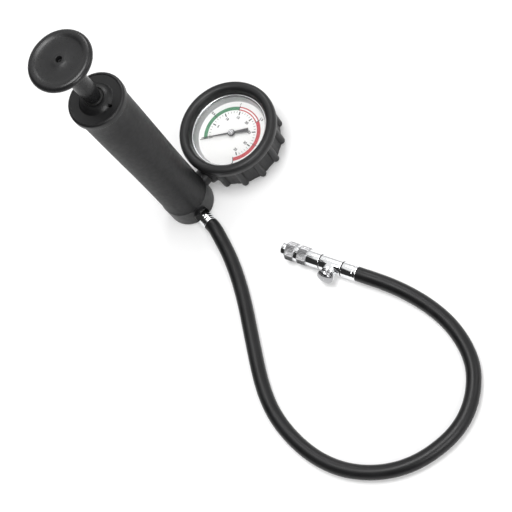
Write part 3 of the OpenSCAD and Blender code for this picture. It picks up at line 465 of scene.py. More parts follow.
def lens_glass():
    """Clear lens that lets the lamps through to the dial."""
    mat = bpy.data.materials.new("lens_glass")
    tree, bsdf = nodes_of(mat)
    bsdf.inputs["Base Color"].default_value = (0.985, 0.985, 0.985, 1)
    bsdf.inputs["Transmission Weight"].default_value = 1.0
    bsdf.inputs["IOR"].default_value = 1.47
    coords = tree.nodes.new("ShaderNodeTexCoord").outputs["Object"]
    smear = noise(tree, coords, 70.0, 4.0, 0.6)
    tree.links.new(between(tree, smear, 0.0, 0.03), bsdf.inputs["Roughness"])
    clear = tree.nodes.new("ShaderNodeBsdfTransparent")
    path = tree.nodes.new("ShaderNodeLightPath")
    lit = math_node(tree, "MAXIMUM", path.outputs["Is Shadow Ray"], path.outputs["Is Diffuse Ray"])
    mix = tree.nodes.new("ShaderNodeMixShader")
    tree.links.new(lit, mix.inputs["Fac"])
    tree.links.new(bsdf.outputs["BSDF"], mix.inputs[1])
    tree.links.new(clear.outputs["BSDF"], mix.inputs[2])
    tree.links.new(mix.outputs["Shader"], tree.nodes["Material Output"].inputs["Surface"])
    return mat


def knurled_metal():
    """Plated metal with the small crossed cuts of a knurling wheel, which go round the part's Z,
    and painted shade in their grooves.
    """
    mat = metal("knurled_chrome", (0.5, 0.5, 0.51), (0.34, 0.48), (1, 1, 0.2), 1200.0, 0.00001)
    tree = mat.node_tree
    bsdf = tree.nodes["Principled BSDF"]
    split = tree.nodes.new("ShaderNodeSeparateXYZ")
    tree.links.new(tree.nodes.new("ShaderNodeTexCoord").outputs["Object"], split.inputs["Vector"])
    angle = math_node(tree, "ARCTAN2", split.outputs["Y"], split.outputs["X"])
    round_it = math_node(tree, "MULTIPLY", angle, KNURL_ROUND)
    along_it = math_node(tree, "MULTIPLY", split.outputs["Z"], KNURL_ALONG)
    one_way = math_node(tree, "SINE", math_node(tree, "ADD", round_it, along_it))
    other_way = math_node(tree, "SINE", math_node(tree, "SUBTRACT", round_it, along_it))
    cuts = math_node(tree, "MULTIPLY", one_way, other_way)
    level = math_node(tree, "MULTIPLY_ADD", cuts, 0.5, 0.5)
    # Painted shade: the grooves of the cuts are coloured darker and their tops lighter, besides the
    # bump that cuts them.
    tone = ramp(tree, level, [(0.25, (0.2, 0.2, 0.205)), (0.8, (0.62, 0.62, 0.63))])
    tree.links.new(tone, bsdf.inputs["Base Color"])
    marks = bsdf.inputs["Normal"].links[0].from_socket
    tree.links.new(bump(tree, level, 0.00012, 0.7, marks), bsdf.inputs["Normal"])
    return mat


# The materials by short name
M = {
    "cap": moulded("cap_plastic", (0.011, 0.011, 0.0115), (0.3, 0.44), spec=0.32),
    "knob": moulded("knob_plastic", (0.011, 0.011, 0.0115), (0.24, 0.36), 2600.0, 0.00002, 0.34),
    "grip": moulded("grip_rubber", (0.011, 0.011, 0.0115), (0.46, 0.6), 1500.0, 0.00006, 0.26),
    "boot": moulded("boot_rubber", (0.012, 0.012, 0.0125), (0.32, 0.46), 1800.0, 0.00004, 0.3),
    "seal": moulded("seal_rubber", (0.016, 0.016, 0.016), (0.4, 0.55), 2400.0, 0.00002),
    "hose": hose_rubber(),
    "acetal": moulded("piston_acetal", (0.62, 0.62, 0.58), (0.28, 0.4), 2500.0, 0.00001),
    "chrome": metal("fitting_chrome", (0.86, 0.87, 0.88), (0.05, 0.11), (1, 1, 0.15), 700.0,
                    0.000004, 0.02),
    # Chrome coloured darker for the relief flange and dome: painted shade that stands for the dark
    # reflections of the chrome.
    "shaded_chrome": metal("relief_chrome_shaded", (0.36, 0.36, 0.37), (0.1, 0.18), (1, 1, 0.15), 700.0,
                    0.000004, 0.03),
    "knurled": knurled_metal(),
    "rod": metal("rod_nitrided", (0.2, 0.2, 0.205), (0.2, 0.32), (1, 1, 0.05), 1500.0, 0.000004),
    "steel": metal("plain_steel", (0.56, 0.57, 0.58), (0.25, 0.4), (1, 1, 0.3), 1200.0),
    "spring": metal("spring_wire", (0.5, 0.5, 0.51), (0.22, 0.32), (1, 1, 1), 2500.0),
    "black_steel": metal("black_steel", (0.05, 0.05, 0.052), (0.35, 0.5), (1, 1, 1), 1500.0),
    "gauge_steel": metal("gauge_steel", (0.66, 0.67, 0.68), (0.16, 0.28), (1, 1, 0.1), 1000.0),
    "ring": metal("silvered_ring", (0.42, 0.42, 0.43), (0.28, 0.4), (1, 1, 0.1), 1400.0),
    "alloy": metal("barrel_alloy", (0.7, 0.71, 0.72), (0.3, 0.42), (1, 1, 0.04), 1500.0),
    "hub": metal("hub_alloy", (0.5, 0.5, 0.51), (0.22, 0.34), (1, 1, 0.3), 2000.0),
    "brass": metal("machined_brass", (0.72, 0.53, 0.22), (0.2, 0.36), (1, 1, 0.2), 1500.0),
    "bronze": metal("bush_bronze", (0.6, 0.42, 0.22), (0.3, 0.45), (1, 1, 0.2), 1500.0),
    "copper": metal("washer_copper", (0.66, 0.34, 0.2), (0.25, 0.4), (1, 1, 0.2), 1500.0),
    "dial": ink("dial_white", (0.81, 0.81, 0.8), 0.35, 0.015),
    "needle": ink("needle_black", (0.02, 0.02, 0.021), 0.4),
    "black_ink": ink("black_ink", (0.012, 0.012, 0.013)),
    "green_ink": ink("green_ink", (0.02, 0.165, 0.066)),
    "red_ink": ink("red_ink", (0.44, 0.02, 0.031)),
    "glass": lens_glass(),
}

# The material of each CAD node, also of those that a piece of the scene replaces
NODE_MATERIAL = {
    "cap": "base_cap top_cap",
    "knob": "knob",
    "grip": "grip_sleeve",
    "boot": "gauge_boot",
    "seal": "wiper_ring barrel_seals check_disc buffer_ring piston_cup relief_seal mouth_seal",
    "hose": "hose",
    "acetal": "piston_head",
    "chrome": "pump_fitting pump_ferrule coupler_ferrule tee_body relief_body relief_cap "
              "coupler_body",
    "knurled": "knurled_collar knurled_sleeve",
    "rod": "plunger_rod",
    "steel": "piston_washer piston_nut movement_screws link_bar relief_stem lock_balls",
    "spring": "check_spring relief_spring sleeve_spring mouth_spring hairspring",
    "black_steel": "knob_screw",
    "gauge_steel": "gauge_case gauge_bezel",
    "ring": "lens_spacer",
    "alloy": "barrel_tube",
    "hub": "pointer_hub",
    "brass": "valve_plate pinion_shaft sector_gear movement_back_plate movement_front_plate "
             "pressure_tube gauge_socket hose_tail mouth_valve",
    "bronze": "rod_bush",
    "copper": "stem_washer",
    "dial": "dial_plate",
    "needle": "pointer",
    "glass": "gauge_lens",
}
BODY_OF = {n: b for b, ns in frame["record"]["behaviour"]["bodies"].items() for n in ns}
for key, names in NODE_MATERIAL.items():
    for node in names.split():
        mesh = frame["nodes"][node].data
        mesh.materials.clear()
        mesh.materials.append(M[key])


def stands_for(obj, *nodes):
    """obj takes the place and the body of these CAD nodes, which are hidden."""
    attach(obj, BODY_OF[nodes[0]])
    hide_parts(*nodes)
    return obj


def belongs_to(obj, node):
    """obj is a detail on this CAD node."""
    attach(obj, BODY_OF[node])
    return obj


# ---------------------------------------------------------------- pump
def build_grip():
    """The grip sleeve, narrowest near its foot and flared at its top."""
    length = GRIP_TOP - GRIP_Z0
    side = spline([
        (20.5, GRIP_Z0 + 0.6), (20.15, GRIP_Z0 + 3), (19.85, GRIP_Z0 + 9), (19.8, GRIP_Z0 + 22),
        (19.95, GRIP_Z0 + 0.36 * length), (20.4, GRIP_Z0 + 0.56 * length),
        (20.8, GRIP_Z0 + 0.76 * length), (21.0, GRIP_TOP - 18), (21.25, GRIP_TOP - 11),
        (21.8, GRIP_TOP - 5.5), (22.35, GRIP_TOP - 1.5), (22.4, GRIP_TOP - 0.7)], 6)
    grip = [(COLLAR_R + 0.1, GRIP_Z0), (20.3, GRIP_Z0, 0.3)]
    grip += [tuple(p) for p in side]
    grip += [(22.2, GRIP_TOP - 0.2, 0.2), (BARREL_R + 0.1, GRIP_TOP - 0.2),
             (BARREL_R + 0.1, COLLAR_TOP + 0.4), (COLLAR_R + 0.1, COLLAR_TOP + 0.4)]
    stands_for(lathe("grip", grip, M["grip"], segs=128), "grip_sleeve")


def build_top_cap():
    """The cap with its sloped boss and breather hole, and the wiper round the rod."""
    bore = ROD_R + 1.0
    cap = [(bore, PLUG_Z), (15.3, PLUG_Z, 0.8), (15.3, GRIP_TOP), (CAP_R, GRIP_TOP, 0.5)]
    cap += [(CAP_R - CAP_RIM_R + CAP_RIM_R * math.cos(math.radians(a)),
             CAP_TOP - CAP_RIM_R + CAP_RIM_R * math.sin(math.radians(a))) for a in range(0, 91, 15)]
    cap += [(21.1, CAP_TOP, 0.25), (20.6, CAP_TOP - 0.5, 0.3),
            (13.9, CAP_TOP - 0.5, 0.8), (13.1, CAP_TOP + 0.2), (12.3, CAP_TOP + 1.3),
            (11.2, CAP_TOP + 2.4), (9.6, CAP_TOP + 3.1), (8.4, BOSS_TOP - 0.2),
            (8.0, BOSS_TOP - 0.8, 0.3), (7.4, BOSS_TOP - 0.8, 0.2), (7.4, BOSS_TOP - 2.0),
            (6.5, BOSS_TOP - 2.0), (6.5, PLUG_Z + 3), (bore, PLUG_Z + 3)]
    cap_body = lathe("top_cap_body", cap, M["cap"], segs=128)
    hole = [(0, PLUG_Z + 2), (BREATHER_R, PLUG_Z + 2), (BREATHER_R, BOSS_TOP), (0, BOSS_TOP)]
    breather = lathe("breather", hole, M["cap"],
                     turn("Z", BREATHER_ANGLE) @ shift(BOSS_R + 3.0, 0, 0), closed=False, segs=32)
    stands_for(combine(cap_body, breather, "DIFFERENCE"), "top_cap")

    wiper = [(ROD_R + 0.08, 0), (7.3, 0), (7.3, 1.5, 0.2), (6.9, 1.7, 0.2), (6.6, 2.4, 0.4),
             (5.6, 2.5, 0.4), (4.9, 1.9, 0.3), (ROD_R + 0.08, 1.7, 0.1)]
    stands_for(lathe("wiper", wiper, M["seal"], shift(0, 0, BOSS_TOP - 2)), "wiper_ring")


def build_knob():
    """The mushroom knob, whose neck reaches down to just over the boss."""
    top = KNOB_TOP
    outside = spline([
        (5.4, NECK_TIP_Z + 0.3), (6.3, NECK_TIP_Z + 1.1), (6.7, NECK_TIP_Z + 2.6),
        (6.85, NECK_TIP_Z + 5.0), (7.0, NECK_TIP_Z + 7.4), (7.2, KNOB_Z + 1.5),
        (7.35, KNOB_Z + 4.5), (7.3, KNOB_Z + 9), (7.2, KNOB_Z + 16), (7.4, top - 27),
        (7.9, top - 21), (9.0, top - 15.5), (11.6, top - 10.8), (15.8, top - 7.8),
        (20.4, top - 6.8), (23.2, top - 6.1), (24.9, top - 4.9), (KNOB_R, top - 3.3),
        (25.1, top - 1.8), (24.1, top - 0.65), (22.7, top - 0.1), (21.4, top - 0.03),
        (19.9, top - 0.35), (18.0, top - 0.9), (15.0, top - 1.3), (11.0, top - 1.4),
        (7.4, top - 1.1), (4.6, top - 0.6)], 6)
    knob = [(ROD_R + 0.05, NECK_TIP_Z), (4.7, NECK_TIP_Z, 0.2)] + [tuple(p) for p in outside]
    knob += [(2.6, top - 0.5, 0.35), (2.6, SCREW_SEAT), (1.7, SCREW_SEAT),
             (1.7, KNOB_Z + SOCKET_L), (ROD_R + 0.05, KNOB_Z + SOCKET_L)]
    stands_for(lathe("knob_body", knob, M["knob"], segs=144), "knob")


# ---------------------------------------------------------------- gauge
def soft_max(a, b, k):
    """The larger of two numbers, with a rounded step of width k between them."""
    h = max(0.0, min(1.0, 0.5 + 0.5 * (b - a) / k))
    return a + (b - a) * h + k * h * (1 - h)


def boot_shape(angle, r, z):
    """Flat panels between rounded ribs round the skirt, and the collar round the stem."""
    if r < CASE_R + 1.2 or z > 31.5:
        return r
    step = 2 * math.pi / RIB_COUNT
    off = (angle + math.pi) % (2 * math.pi)
    k = round(off / step)
    r -= 0.75 * (2 * abs(off - k * step) / step) ** 1.5 * max(0.0, min(1.0, (28.0 - z) / 3.0))
    if k % RIB_COUNT:
        across = (off - k * step) * SKIRT_R
        low = max(0.0, RIB_R + 0.9 - z)
        room = RIB_R ** 2 - across * across - low * low
        if room > -6.0 and z < 30.5:
            fade = max(0.0, min(1.0, (30.6 - z) / 4.0))
            reach = SKIRT_R + 0.1 - 1.2 * (1 - fade) + math.copysign(math.sqrt(abs(room)), room)
            r = soft_max(r, min(reach, RIB_OUT), 0.7)
    side = SKIRT_R * math.sin(angle)
    if math.cos(angle) < 0:
        away = math.hypot(side, z - STEM_Z) - 9.4
        if away < 1.6:
            r = soft_max(r, RIB_OUT - max(0.0, away) * 2.2, 0.5)
    return r


def build_boot():
    """The rubber boot, with the hole for the gauge's stem."""
    foot = SKIRT_FOOT_R
    outer = [(SKIRT_R - foot, 0.0, 0.3)]
    skirt = [(SKIRT_R - foot + foot * math.sin(math.radians(a)),
              foot - foot * math.cos(math.radians(a))) for a in range(10, 91, 10)]
    skirt += [(SKIRT_R, foot + i * (26.0 - foot) / 22) for i in range(1, 23)]
    ring = spline([
        (SKIRT_R + 0.15, 26.6), (SKIRT_R + 0.9, 27.4), (39.4, 28.1), (41.1, 28.8), (42.2, 29.8),
        (42.8, 31.2), (BOOT_R, 33.6), (43.0, 35.6), (42.0, 37.6), (40.3, 38.5), (38.4, BOOT_H),
        (36.4, 38.0), (34.9, 36.5), (34.2, 34.4), (33.9, 32.6), (33.6, BEZEL_TOP + 0.3)], 5)
    inner = [(33.3, BEZEL_TOP + 0.2), (BEZEL_R + 0.1, BEZEL_TOP + 0.2), (BEZEL_R + 0.1, 24.4),
             (CASE_R + 0.1, 24.4), (CASE_R + 0.1, 3.1), (24.0, 3.1), (24.0, 0.0)]
    profile = outer + skirt + [tuple(p) for p in ring] + inner
    boot = lathe("boot", profile, M["boot"], at_gauge(), segs=RIB_COUNT * 26, reshape=boot_shape,
                 smooth_angle=50)
    hole = lathe("stem_hole", [(0, 10), (8.1, 10), (8.1, 50), (0, 50)], M["boot"],
                 at_gauge(STEM_Z) @ turn("Y", -90), closed=False, segs=64)
    stands_for(combine(boot, hole, "DIFFERENCE"), "gauge_boot")


def build_window():
    """The bezel, the lens and the silvered ring between lens and dial."""
    bezel = [(CASE_R + 0.1, 24.6), (BEZEL_R, 24.6, 0.3), (BEZEL_R, BEZEL_TOP, 0.9),
             (32.3, BEZEL_TOP, 0.5), (31.7, LENS_TOP + 0.5, 0.3), (31.7, LENS_TOP),
             (CASE_R + 0.1, LENS_TOP)]
    stands_for(lathe("bezel", bezel, M["gauge_steel"], at_gauge(), segs=160), "gauge_bezel")
    lens = [(0, LENS_Z), (CASE_R, LENS_Z, 0.3), (CASE_R, LENS_TOP, 0.3), (0, LENS_TOP)]
    stands_for(lathe("lens", lens, M["glass"], at_gauge(), closed=False, segs=128), "gauge_lens")
    spacer = [(29.8, DIAL_TOP), (32.4, DIAL_TOP), (32.4, LENS_Z - 0.02), (31.9, LENS_Z - 0.02, 0.2),
              (30.0, DIAL_TOP + 0.7, 0.2)]
    stands_for(lathe("spacer", spacer, M["ring"], at_gauge(), segs=128), "lens_spacer")


def polar(angle, r):
    """A point of the dial at an angle clockwise from zero."""
    a = math.radians(ZERO_ANGLE - angle)
    return (r * math.cos(a), r * math.sin(a))


def sector_outline(a0, a1, r0, r1):
    """A band of the dial, with points about every two degrees."""
    count = int((a1 - a0) / 2)
    angles = [a0 + (a1 - a0) * i / count for i in range(count + 1)]
    return [polar(a, r1) for a in angles] + [polar(a, r0) for a in reversed(angles)]


def print_shapes(name, outlines, material, height):
    """Thin layers of ink on the dial, one closed prism for each outline."""
    verts, faces = [], []
    for outline in outlines:
        n = len(outline)
        at = len(verts)
        verts += [(x, y, DIAL_TOP + 0.01) for x, y in outline]
        verts += [(x, y, DIAL_TOP + height) for x, y in outline]
        half = n // 2
        for base in (at, at + n):
            faces += [(base + i, base + i + 1, base + n - 2 - i, base + n - 1 - i)
                      for i in range(half - 1)]
        faces += [(at + i, at + (i + 1) % n, at + n + (i + 1) % n, at + n + i) for i in range(n)]
    return belongs_to(solid(name, verts, faces, material, 30, at_gauge()), "dial_plate")


def tick(angle, r0, r1, width):
    """A straight mark from r0 to r1, which points at the dial's middle."""
    def corner(r, side):
        x, y = polar(angle, r)
        a = math.radians(ZERO_ANGLE - angle)
        return (x - side * width / 2 * math.sin(a), y + side * width / 2 * math.cos(a))
    return [corner(r1, -1), corner(r1, 1), corner(r0, 1), corner(r0, -1)]


def number(text, angle, r, size):
    """A dial number as a mesh, with its middle at angle and r."""
    curve = bpy.data.curves.new("number", "FONT")
    curve.body = text
    curve.size = size * MM
    curve.align_x = "CENTER"
    curve.align_y = "CENTER"
    curve.extrude = 0.03 * MM
    curve.offset = 0.035 * size * MM
    obj = bpy.data.objects.new("number", curve)
    bpy.context.scene.collection.objects.link(obj)
    x, y = polar(angle, r)
    obj.matrix_world = at_gauge(DIAL_TOP + 0.04) @ shift(x, y, 0) @ turn("Z", NUMBER_TURN)
    graph = bpy.context.evaluated_depsgraph_get()
    mesh = bpy.data.meshes.new_from_object(obj.evaluated_get(graph))
    mesh.transform(obj.matrix_world)
    bpy.data.objects.remove(obj)
    return mesh


def join_meshes(name, meshes, material):
    bm = bmesh.new()
    for m in meshes:
        bm.from_mesh(m)
        bpy.data.meshes.remove(m)
    bmesh.ops.remove_doubles(bm, verts=bm.verts, dist=1e-7)
    mesh = bpy.data.meshes.new(name)
    bm.to_mesh(mesh)
    bm.free()
    mesh.materials.clear()
    return finish_mesh(name, mesh, material, 30, Matrix.Identity(4))


def build_dial():
    """Coloured bands, with ticks and numbers for bar outside them and for psi inside."""
    half, psi = HALF_BAR_ANGLE, PSI_ANGLE
    print_shapes("green_band", [sector_outline(0, 2 * half, 21.9, 25.1)], M["green_ink"], 0.05)
    print_shapes("red_band", [
        sector_outline(2 * half, 3 * half, 24.2, 25.2),
        sector_outline(2 * half, 3 * half, 21.8, 22.8),
        sector_outline(3 * half, 5 * half, 21.9, 25.1)], M["red_ink"], 0.05)
    ticks = [tick(i * half, 21.4, 26.1, 0.6) for i in range(6)]
    ticks += [tick(5 * i * psi, 17.6, 20.8, 1.0) for i in range(1, 8)]
    ticks += [tick(i * psi, 19.2, 20.9, 0.36) for i in range(36) if i % 5]
    ticks += [tick(0, 26.2, 28.6, 0.6), tick(0, 17.4, 21.0, 0.6)]
    print_shapes("scale_marks", ticks, M["black_ink"], 0.08)
    labels = [number(t, i * half, 27.5, 2.8)
              for i, t in enumerate(["0", "0.5", "1", "1.5", "2", "2.5"]) if i]
    labels += [number(str(5 * i), 5 * i * psi, 15.2, 3.2) for i in range(1, 8)]
    belongs_to(join_meshes("dial_numbers", labels, M["black_ink"]), "dial_plate")


def build_needle():
    """The needle with its round boss, and the hub on it."""
    outline = [(26.8, 0.15), (26.0, 0.32), (0, 0.85), (-3.5, 1.1), (-4.2, 1.15), (-14.7, 1.75),
               (-15.0, 1.55), (-15.0, -1.55), (-14.7, -1.75), (-4.2, -1.15), (-3.5, -1.1),
               (0, -0.85), (26.0, -0.32), (26.8, -0.15)]
    place = at_gauge(HUB_Z) @ turn("Z", ZERO_ANGLE)
    needle = prism("needle", outline, 0, 0.6, M["needle"], place, 0.12)
    stands_for(needle, "pointer")
    rim = [(0, -0.05), (3.2, -0.05, 0.1), (3.2, 0.75, 0.2), (0, 0.75)]
    belongs_to(lathe("needle_boss", rim, M["needle"], at_gauge(HUB_Z), closed=False, segs=64),
               "pointer")
    hub = [(0, 0.2), (2.4, 0.2, 0.1), (2.4, 1.1, 0.3), (2.1, 1.55, 0.2), (1.5, 1.55, 0.2),
           (1.35, 1.3, 0.1), (1.0, 1.3, 0.1), (0.9, 2.0, 0.25), (0, 2.0)]
    stands_for(lathe("hub", hub, M["hub"], at_gauge(HUB_Z + 0.6), closed=False, segs=64),
               "pointer_hub")


# ---------------------------------------------------------------- hose
def hose_path():
    """The hose's middle line, from the pump's fitting round its one loop to the coupler."""
    out = Vector((math.cos(math.radians(OUTLET_ANGLE)), math.sin(math.radians(OUTLET_ANGLE)), 0))
    lead = Vector((math.cos(math.radians(COUPLER_ANGLE)), math.sin(math.radians(COUPLER_ANGLE)), 0))
    first = out * (BOSS_OUT + HEX_L + PUMP_FERRULE_L) + Vector((0, 0, OUTLET_Z))
    last = Vector(COUPLER_END)
    points = [
        (-9, -49, 8.6), (-16, -67, 7), (-26, -86, 6.3), (-37, -104, 6.2), (-49, -121, 6.2),
        (-61, -138, 6.2), (-73, -155, 6.2), (-84, -173, 6.2), (-92, -192, 6.2), (-96, -212, 6.2),
        (-97, -233, 6.2), (-94, -253, 6.2), (-87, -271, 6.2), (-76, -287, 6.2), (-62, -300, 6.2),
        (-46, -309, 6.2), (-29, -314, 6.2), (-12, -316, 6.2), (6, -313, 6.2), (23, -304, 6.2),
        (37, -291, 6.2), (46, -273, 6.2), (51, -254, 6.2), (52, -233, 6.2), (50, -213, 6.5),
        (46, -194, 7.2)]
    line = spline([first, first + out * HOSE_R] + points + [last - lead * HOSE_R, last], 6)
    for _ in range(12):
        line = line[:2] + [(line[i - 1] + 2 * line[i] + line[i + 1]) / 4
                           for i in range(2, len(line) - 2)] + line[-2:]
    return line


# The pieces at the hose's far end, which go with it
CORD_PIECES = ["hose_tail"]


def build_hose():
    path = hose_path()
    hose = stands_for(tube("rubber_hose", path, HOSE_R, 32, M["hose"], True), "hose")
    length = sum((b - a).length for a, b in zip(path, path[1:]))


# ---------------------------------------------------------------- fittings and coupler
def ferrule_profile(l):
    """A crimped ferrule with two rings pressed into it."""
    o, g = FERRULE_R, FERRULE_R - 0.4
    return [(TAIL_R + 0.1, 0), (o, 0, 0.4), (o, 0.3 * l, 0.3), (g, 0.3 * l + 0.35, 0.2),
            (g, 0.3 * l + 0.85, 0.2), (o, 0.3 * l + 1.2, 0.3), (o, 0.65 * l, 0.3),
            (g, 0.65 * l + 0.35, 0.2), (g, 0.65 * l + 0.85, 0.2), (o, 0.65 * l + 1.2, 0.3),
            (o, l, 0.5), (TAIL_R + 0.1, l)]


def cord_piece(obj, *nodes):
    """obj stands for these CAD nodes and goes with the hose's far end."""
    CORD_PIECES.append(obj.name)
    return stands_for(obj, *nodes)


def knurl(r_out):
    """Teeth along a turned ring, cut into what is at its full radius."""
    def reshape(angle, r, z):
        if r < r_out - 0.02:
            return r
        return r - KNURL_DEPTH * abs(((angle * KNURL_TEETH / (2 * math.pi)) % 1.0) - 0.5) * 2
    return reshape


def build_pump_fitting():
    """The hexagonal fitting and the ferrule at the pump's end of the hose."""
    fitting = lathe("fitting", [
        (1.5, 0), (4.5, 0, 0.3), (4.5, 4.7), (7.3, 4.7, 0.5), (7.3, 9.7, 0.7), (3.0, 9.7),
        (3.0, 16.6, 0.3), (1.5, 16.6)], M["chrome"], along_outlet(THREAD_R), segs=96,
        reshape=lambda a, r, z: min(r, HEX_HALF_W / math.cos((a % (math.pi / 3)) - math.pi / 6))
        if r > 5 else r, smooth_angle=25)
    stands_for(fitting, "pump_fitting")
    stands_for(lathe("ferrule_at_pump", ferrule_profile(PUMP_FERRULE_L), M["chrome"],
                     along_outlet(BOSS_OUT + HEX_L)), "pump_ferrule")


def build_tee():
    """The smooth ferrule and the tee, with its tilted branch and a dark seam at each end."""
    l = COUPLER_FERRULE_L - 0.1
    shell = [(TAIL_R + 0.1, 0), (6.5, 0, 0.4), (6.5, 2.0, 0.3), (6.2, 2.35, 0.2), (6.2, 3.0, 0.2),
             (6.4, 3.3, 0.2), (6.4, l, 0.3), (TAIL_R + 0.1, l)]
    cord_piece(lathe("ferrule_at_coupler", shell, M["chrome"], along_coupler(0)), "coupler_ferrule")

    l = TEE_U1 - TEE_U0
    run = [(0, 0), (5.8, 0), (5.8, 0.9), (COUPLER_R, 0.9, 0.4), (COUPLER_R, l - 0.9, 0.4),
           (5.8, l - 0.9), (5.8, l), (0, l)]
    tee = lathe("tee", run, M["chrome"], along_coupler(TEE_U0), closed=False, segs=128)
    arm = [(0, 0), (BRANCH_R, 0), (BRANCH_R, BRANCH_L, 0.4), (0, BRANCH_L)]
    branch = lathe("branch", arm, M["chrome"], along_branch(0), closed=False, segs=96)
    combine(tee, branch, "UNION")
    for place, r, start, end in (
            (along_coupler(TEE_U0), LINE_R, -1, l + 1),
            (along_branch(0), BRANCH_BORE_R, 0, 10),
            (along_branch(0), 3.4, 5.1, 12),
            (along_coupler(TEE_U0), 3.1, -1, 3.2),
            (along_coupler(TEE_U0), 4.6, l - 6, l + 2)):
        bore = lathe("bore", [(0, start), (r, start), (r, end), (0, end)], M["chrome"], place,
                     closed=False, segs=48)
        combine(tee, bore, "DIFFERENCE")
    edge_bevel(tee, 0.35, 50, 3)
    apply_modifiers(tee)
    cord_piece(tee, "tee_body")
    for name, u in (("seam_at_ferrule", TEE_U0 + 0.05), ("seam_at_coupler", TEE_U1 - 0.85)):
        ring = [(SEAM_R0, 0), (SEAM_R1, 0, 0.2), (SEAM_R1, SEAM_W, 0.2), (SEAM_R0, SEAM_W)]
        seam = belongs_to(lathe(name, ring, M["seal"], along_coupler(u)), "tee_body")
        CORD_PIECES.append(seam.name)


def build_relief_valve():
    """The flange and dome in chrome coloured darker, as painted shade for their dark reflections,
    and the stem and seal inside the branch.
    """
    relief_body = lathe("relief_flange", [
        (1.6, -3.4), (3.3, -3.4, 0.2), (3.3, 0), (5.6, 0, 0.25), (5.6, 1.4, 0.4), (4.3, 1.4, 0.1),
        (4.3, 3.6, 0.3), (3.4, 3.6), (3.4, 1.4), (1.6, 1.4)], M["shaded_chrome"], along_branch(BRANCH_L))
    cord_piece(relief_body, "relief_body")
    dome = [(1.03, 2.3), (4.9, 2.3), (4.9, 0.0), (RELIEF_R, 0.0, 0.5), (RELIEF_R, 1.6),
            (6.3, 2.7, 0.5), (5.0, 3.3), (3.6, 3.75), (2.2, 4.0), (1.03, 4.1)]
    cord_piece(lathe("relief_dome", dome, M["shaded_chrome"], along_branch(RELIEF_CAP_W)), "relief_cap")
    stem = [(0, -2.4), (1.8, -2.4, 0.2), (1.8, -1.2), (1.0, -1.2), (1.0, 10.4, 0.3), (0, 10.4)]
    cord_piece(lathe("pull_stem", stem, M["steel"], along_branch(RELIEF_STEM_W), closed=False,
                     segs=32), "relief_stem")
    seal = [(1.03, -1.15), (1.8, -1.15, 0.1), (1.8, -0.35, 0.1), (1.03, -0.35)]
    cord_piece(lathe("stem_seal", seal, M["seal"], along_branch(RELIEF_STEM_W), segs=32),
               "relief_seal")


def build_coupler():
    """The quick coupler's body, its knurled collar and sleeve, and the spring's shroud."""
    body = [
        (LINE_R, TEE_U1 - 5.8), (4.5, TEE_U1 - 5.8, 0.2), (4.5, TEE_U1), (COUPLER_R, TEE_U1, 0.4),
        (COUPLER_R, BODY_U1, 0.3), (NOSE_R, BODY_U1), (NOSE_R, SLEEVE_U1 + 0.8, 0.15),
        (NOSE_R - 0.35, SLEEVE_U1 + 1.05, 0.1), (NOSE_R - 0.35, SLEEVE_U1 + 1.55, 0.1),
        (NOSE_R, SLEEVE_U1 + 1.8, 0.15), (NOSE_R, NOSE_U1, 0.7), (MOUTH_R, NOSE_U1, 0.25),
        (MOUTH_R, MOUTH_U0), (MOUTH_R + 0.4, MOUTH_U0), (MOUTH_R + 0.4, MOUTH_U0 - 1.4),
        (3.3, MOUTH_U0 - 1.4), (3.3, VALVE_U), (LINE_R, VALVE_U)]
    cord_piece(lathe("coupler", body, M["chrome"], along_coupler(0), segs=128), "coupler_body")
    l = COLLAR_U1 - BODY_U1
    collar = [(NOSE_R + 0.05, 0), (7.0, 0, 0.1), (COLLAR_KNURL_R, 0.6), (COLLAR_KNURL_R, l - 0.6),
              (7.0, l, 0.1), (NOSE_R + 0.05, l)]
    cord_piece(lathe("collar", collar, M["knurled"], along_coupler(BODY_U1), segs=320,
                     reshape=knurl(COLLAR_KNURL_R), smooth_angle=20), "knurled_collar")
    wall = [(NOSE_R + 1.04, 0), (NOSE_R + 1.14, 0), (NOSE_R + 1.14, 5.3, 0.03),
            (NOSE_R + 1.04, 5.3)]
    shroud = belongs_to(lathe("spring_shroud", wall, M["chrome"], along_coupler(COLLAR_U1 - 0.1)),
                        "coupler_body")
    CORD_PIECES.append(shroud.name)
    l = SLEEVE_U1 - SLEEVE_U0
    sleeve = [(5.8, 4.5), (5.8, l), (7.2, l, 0.1), (SLEEVE_KNURL_R, l - 0.6),
              (SLEEVE_KNURL_R, 0.6), (7.2, 0.0, 0.1), (6.7, 0.0), (6.7, 4.5)]
    cord_piece(lathe("sleeve", sleeve, M["knurled"], along_coupler(SLEEVE_U0), segs=320,
                     reshape=knurl(SLEEVE_KNURL_R), smooth_angle=20), "knurled_sleeve")


def coil(name, node, radius, wire, turns, height, place, cord=False):
    """A smooth coil in place of the CAD's faceted one."""
    count = int(turns * COIL_STEPS)
    rise = (height - 2 * wire) / count
    path = [(radius * math.cos(math.radians(360 / COIL_STEPS * i)),
             radius * math.sin(math.radians(360 / COIL_STEPS * i)),
             wire + i * rise) for i in range(count + 1)]
    obj = tube(name, path, wire, 12, M["spring"])
    obj.matrix_world = place
    if cord:
        cord_piece(obj, node)
    else:
        stands_for(obj, node)
    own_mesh(obj)


def build_springs():
    coil("valve_spring", "check_spring", 3.0, 0.35, 4, 7.3, shift(0, 0, 4))
    coil("cap_spring", "relief_spring", 2.6, 0.35, 2.5, 3.7, along_branch(RELIEF_W1),
         True)
    coil("sleeve_coil", "sleeve_spring", NOSE_R + 0.65, 0.35, 4, 7.75, along_coupler(COLLAR_U1),
         True)
    coil("mouth_coil", "mouth_spring", 2.0, 0.3, 5, 9.75, along_coupler(VALVE_U),
         True)


